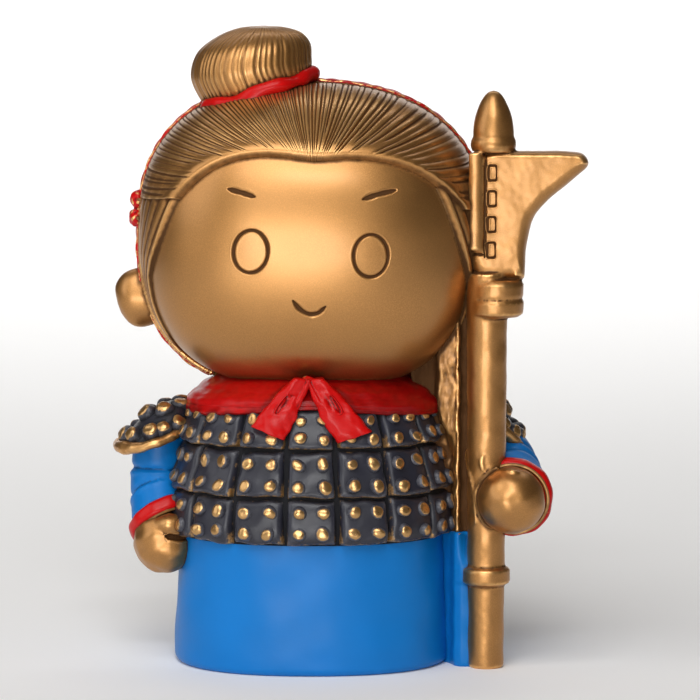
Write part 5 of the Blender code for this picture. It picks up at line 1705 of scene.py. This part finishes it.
    def folds(self):
        """The thin folds of resin that run down the shaft to the fist."""
        made = []
        for run in (((23.9, 33.8), (24.2, 31.5), (24.9, 28.6), (25.3, 25.0)),
                    ((28.6, 32.0), (27.2, 30.6), (25.9, 29.0), (25.2, 26.6), (25.4, 22.8)),
                    ((26.4, 33.6), (26.2, 32.2), (26.6, 30.9))):
            flat = curve_through(run, 24) * MM
            depth = np.sqrt(np.maximum((SHAFT_RADIUS * 0.97) ** 2 - (flat[:, 0] - SHAFT_X) ** 2, 0))
            path = np.stack([flat[:, 0], SHAFT_Y - depth, flat[:, 1]], axis=1)
            radii = 0.36 * MM * np.sin(np.linspace(0.25, math.pi - 0.25, 24)) ** 0.5
            made.append(swept(path, radii, 10))
        return made

    def web(self):
        """The rough gold web between the shaft and the armour, scarf and head."""
        front = SHAFT_Y + SHAFT_RADIUS * 0.4
        low, high = ROBE_HEIGHT + 0.6 * MM, HEAD_LEVEL - 11 * MM
        block = []
        for z in np.linspace(low, high, 70):
            left = 22.1 - 2.5 * float(ease(33 * MM, 41 * MM, z))
            crest = -0.3 - 0.2 * math.sin(z / MM * 1.1) + 0.1 * math.sin(z / MM * 2.9)
            plan = [
                (15.5, 5.2), (15.5, 2.4), (left - 0.5, 2.2), (left, 0.5), (22.35, 0.1), (22.6, crest),
                (22.9, 0.1), (23.2, 0.8), (24.2, 0.8), (25.2, 0.2), (27.4, 0.2), (27.4, 5.2),
            ]
            block.append([(x * MM, front + y * MM, z) for x, y in plan])
        slab = shell("web", np.array(block))
        mesh = fused("web", [slab], 0.25 * MM, 1)
        points = coordinates(mesh)
        coarse = lumps(points * np.array([1.7, 1.0, 0.45]), 1.7 * MM, 18)
        swell(mesh, (0.09 * coarse + 0.03 * lumps(points, 0.9 * MM, 19)) * MM)
        x = points[:, 0] / MM
        # Painted shadow: the web is darkened behind the robe's ridge, more beside the shaft and fully towards
        # the armour
        behind_ridge, beside_shaft = 1 - ease(21.9, 22.3, x), ease(22.8, 23.1, x) * (1 - ease(24.2, 24.6, x))
        painted_shade = np.maximum(0.4 * behind_ridge, 0.85 * beside_shaft)
        painted_shade = np.maximum(painted_shade, 1 - ease(19.3, 20.3, x))
        mark(mesh, "hollow", painted_shade)
        piece("resin_web", mesh, "gold_paint")


# Wash and painted shade, and stage


class GUARD_OT_shade_and_wash(Operator):
    """Marks where the painted pieces meet, so that the wash and the painted shade gather there"""

    bl_idname = "guard.wash"
    bl_label = "Wash and shade"

    def execute(self, context):
        reach = 0.8 * MM
        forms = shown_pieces()
        forms = [form for form in forms if "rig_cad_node" not in form]
        points = {form.name: coordinates(form.data) for form in forms}
        trees = {}
        for form in forms:
            faces = [tuple(face.vertices) for face in form.data.polygons]
            trees[form.name] = BVHTree.FromPolygons(points[form.name].tolist(), faces)
        for form in forms:
            own = points[form.name]
            near = np.zeros(len(own))
            for other in forms:
                if other is form:
                    continue
                box = points[other.name]
                close = np.all((own > box.min(axis=0) - reach) & (own < box.max(axis=0) + reach), axis=1)
                for index in np.nonzero(close)[0]:
                    gap = trees[other.name].find_nearest(own[index], reach)[3]
                    if gap is not None:
                        near[index] = max(near[index], 1 - gap / reach)
            mark(form.data, "contact", near)
        return {"FINISHED"}


class GUARD_OT_paints(Operator):
    """Mixes the four paints"""

    bl_idname = "guard.paints"
    bl_label = "Paints"

    def execute(self, context):
        paints = context.scene.guard_paint
        gold_paint(paints)
        cloth_paint("blue_paint", tuple(paints.blue), paints, 0.34, 0.0)
        cloth_paint("red_paint", tuple(paints.red), paints, 0.25, 0.22)
        iron_paint(paints)
        return {"FINISHED"}


def softbox(name, azimuth, elevation, distance, size, power, target):
    """A soft lamp round the figure: azimuth 0 is in front, 90 on its left."""
    lamp = bpy.data.lights.new(name, "AREA")
    lamp.shape = "RECTANGLE"
    lamp.size, lamp.size_y = size
    lamp.energy = power
    holder = bpy.data.objects.new(name, lamp)
    bpy.context.scene.collection.objects.link(holder)
    a, e = math.radians(azimuth), math.radians(elevation)
    out = Vector((math.sin(a) * math.cos(e), -math.cos(a) * math.cos(e), math.sin(e)))
    holder.location = Vector(target) + out * distance
    holder.rotation_euler = out.to_track_quat("Z", "Y").to_euler()
    return holder


class GUARD_OT_stage(Operator):
    """Sets the camera, the pale floor and the soft studio lamps"""

    bl_idname = "guard.stage"
    bl_label = "Stage"

    def execute(self, context):
        settings = context.scene.guard_stage
        target = Vector((5.94 * MM, 0, 48.5 * MM))
        elevation, distance, view_height = math.radians(6.5), 0.7, 109.4 * MM
        lens = bpy.data.cameras.new("camera")
        lens.sensor_width = 36
        lens.lens = lens.sensor_width * distance / view_height
        lens.clip_start, lens.clip_end = 0.01, 20
        eye = bpy.data.objects.new("camera", lens)
        context.scene.collection.objects.link(eye)
        out = Vector((0, -math.cos(elevation), math.sin(elevation)))
        eye.location = target + out * distance
        eye.rotation_euler = out.to_track_quat("Z", "Y").to_euler()
        context.scene.camera = eye

        context.scene.view_settings.view_transform = "Standard"
        ground = bpy.data.meshes.new("floor")
        half_width, front, bend, depth = 0.42, -0.9, 0.55, 0.45
        profile = [(front, 0.0), (bend, 0.0)]
        for a in np.linspace(0.1, math.pi / 2, 16):
            profile.append((bend + depth * math.sin(a), depth * (1 - math.cos(a))))
        profile.append((bend + depth, 0.5))
        points = [(side * half_width, y, z) for y, z in profile for side in (-1, 1)]
        faces = [(2 * i, 2 * i + 1, 2 * i + 3, 2 * i + 2) for i in range(len(profile) - 1)]
        ground.from_pydata(points, [], faces)
        ground.shade_smooth()
        work = Paintwork("floor_paint", {"Roughness": 0.9, "Specular IOR Level": 0.1})
        tint = shade(settings.floor, 0.98)
        work.give("Base Color", work.blend(work.mottle(0.3, 2), tuple(settings.floor), tint))
        ground.materials.append(work.material)
        sweep = bpy.data.objects.new("floor", ground)
        context.scene.collection.objects.link(sweep)
        sweep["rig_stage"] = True

        world = bpy.data.worlds.new("studio")
        context.scene.world = world
        world.use_nodes = True
        background = world.node_tree.nodes["Background"]
        background.inputs["Color"].default_value = (1.0, 0.86, 0.7, 1.0)
        background.inputs["Strength"].default_value = 0.08 * settings.light
        figure = (0, 0, 0.055)
        lamps = (
            ("key", -12, 50, 0.6, (0.34, 0.4), 1.7, figure),
            ("front", -12, 16, 0.95, (0.4, 0.4), 0.7, figure),
            ("strip", 2, 34, 0.65, (0.2, 0.05), 0.6, figure),
            ("low", -8, -4, 0.42, (0.24, 0.05), 0.52, figure),
            ("left", -64, 24, 0.6, (0.35, 0.5), 0.95, figure),
            ("backdrop", 0, 42, 0.75, (0.9, 0.3), 7.0, (0, bend + depth, 0.25)),
        )
        for name, azimuth, high, away, size, power, target in lamps:
            softbox(name, azimuth, high, away, size, power * settings.light, target)
        return {"FINISHED"}


class GUARD_PT_panel(Panel):
    """Lists the steps that build the figurine's finish"""

    bl_idname = "GUARD_PT_panel"
    bl_label = "Palace guard"
    bl_space_type = "VIEW_3D"
    bl_region_type = "UI"
    bl_category = "Guard"

    def draw(self, context):
        column = self.layout.column(align=True)
        for step in STEPS:
            column.operator(step.bl_idname)
        for group in GROUPS:
            box = self.layout.box()
            settings = getattr(context.scene, group)
            for name in settings.__annotations__:
                box.prop(settings, name)


STEPS = (GUARD_OT_stage, GUARD_OT_paints, GUARD_OT_face, GUARD_OT_hair, GUARD_OT_straps, GUARD_OT_ears,
         GUARD_OT_topknot, GUARD_OT_robe, GUARD_OT_armour, GUARD_OT_scarf, GUARD_OT_shoulders, GUARD_OT_arms,
         GUARD_OT_dagger_axe, GUARD_OT_shade_and_wash)
GROUPS = {
    "guard_head": GuardHeadSettings,
    "guard_armour": GuardArmourSettings,
    "guard_paint": GuardPaintSettings,
    "guard_stage": GuardStageSettings,
}


def register():
    for group in (*GROUPS.values(), *STEPS, GUARD_PT_panel):
        bpy.utils.register_class(group)
    for name, group in GROUPS.items():
        setattr(bpy.types.Scene, name, PointerProperty(type=group))


def unregister():
    for name in GROUPS:
        delattr(bpy.types.Scene, name)
    for group in (GUARD_PT_panel, *reversed(STEPS), *reversed(GROUPS.values())):
        bpy.utils.unregister_class(group)


def main():
    register()
    for step in STEPS:
        area, name = step.bl_idname.split(".")
        getattr(getattr(bpy.ops, area), name)()


if __name__ == "__main__":
    main()
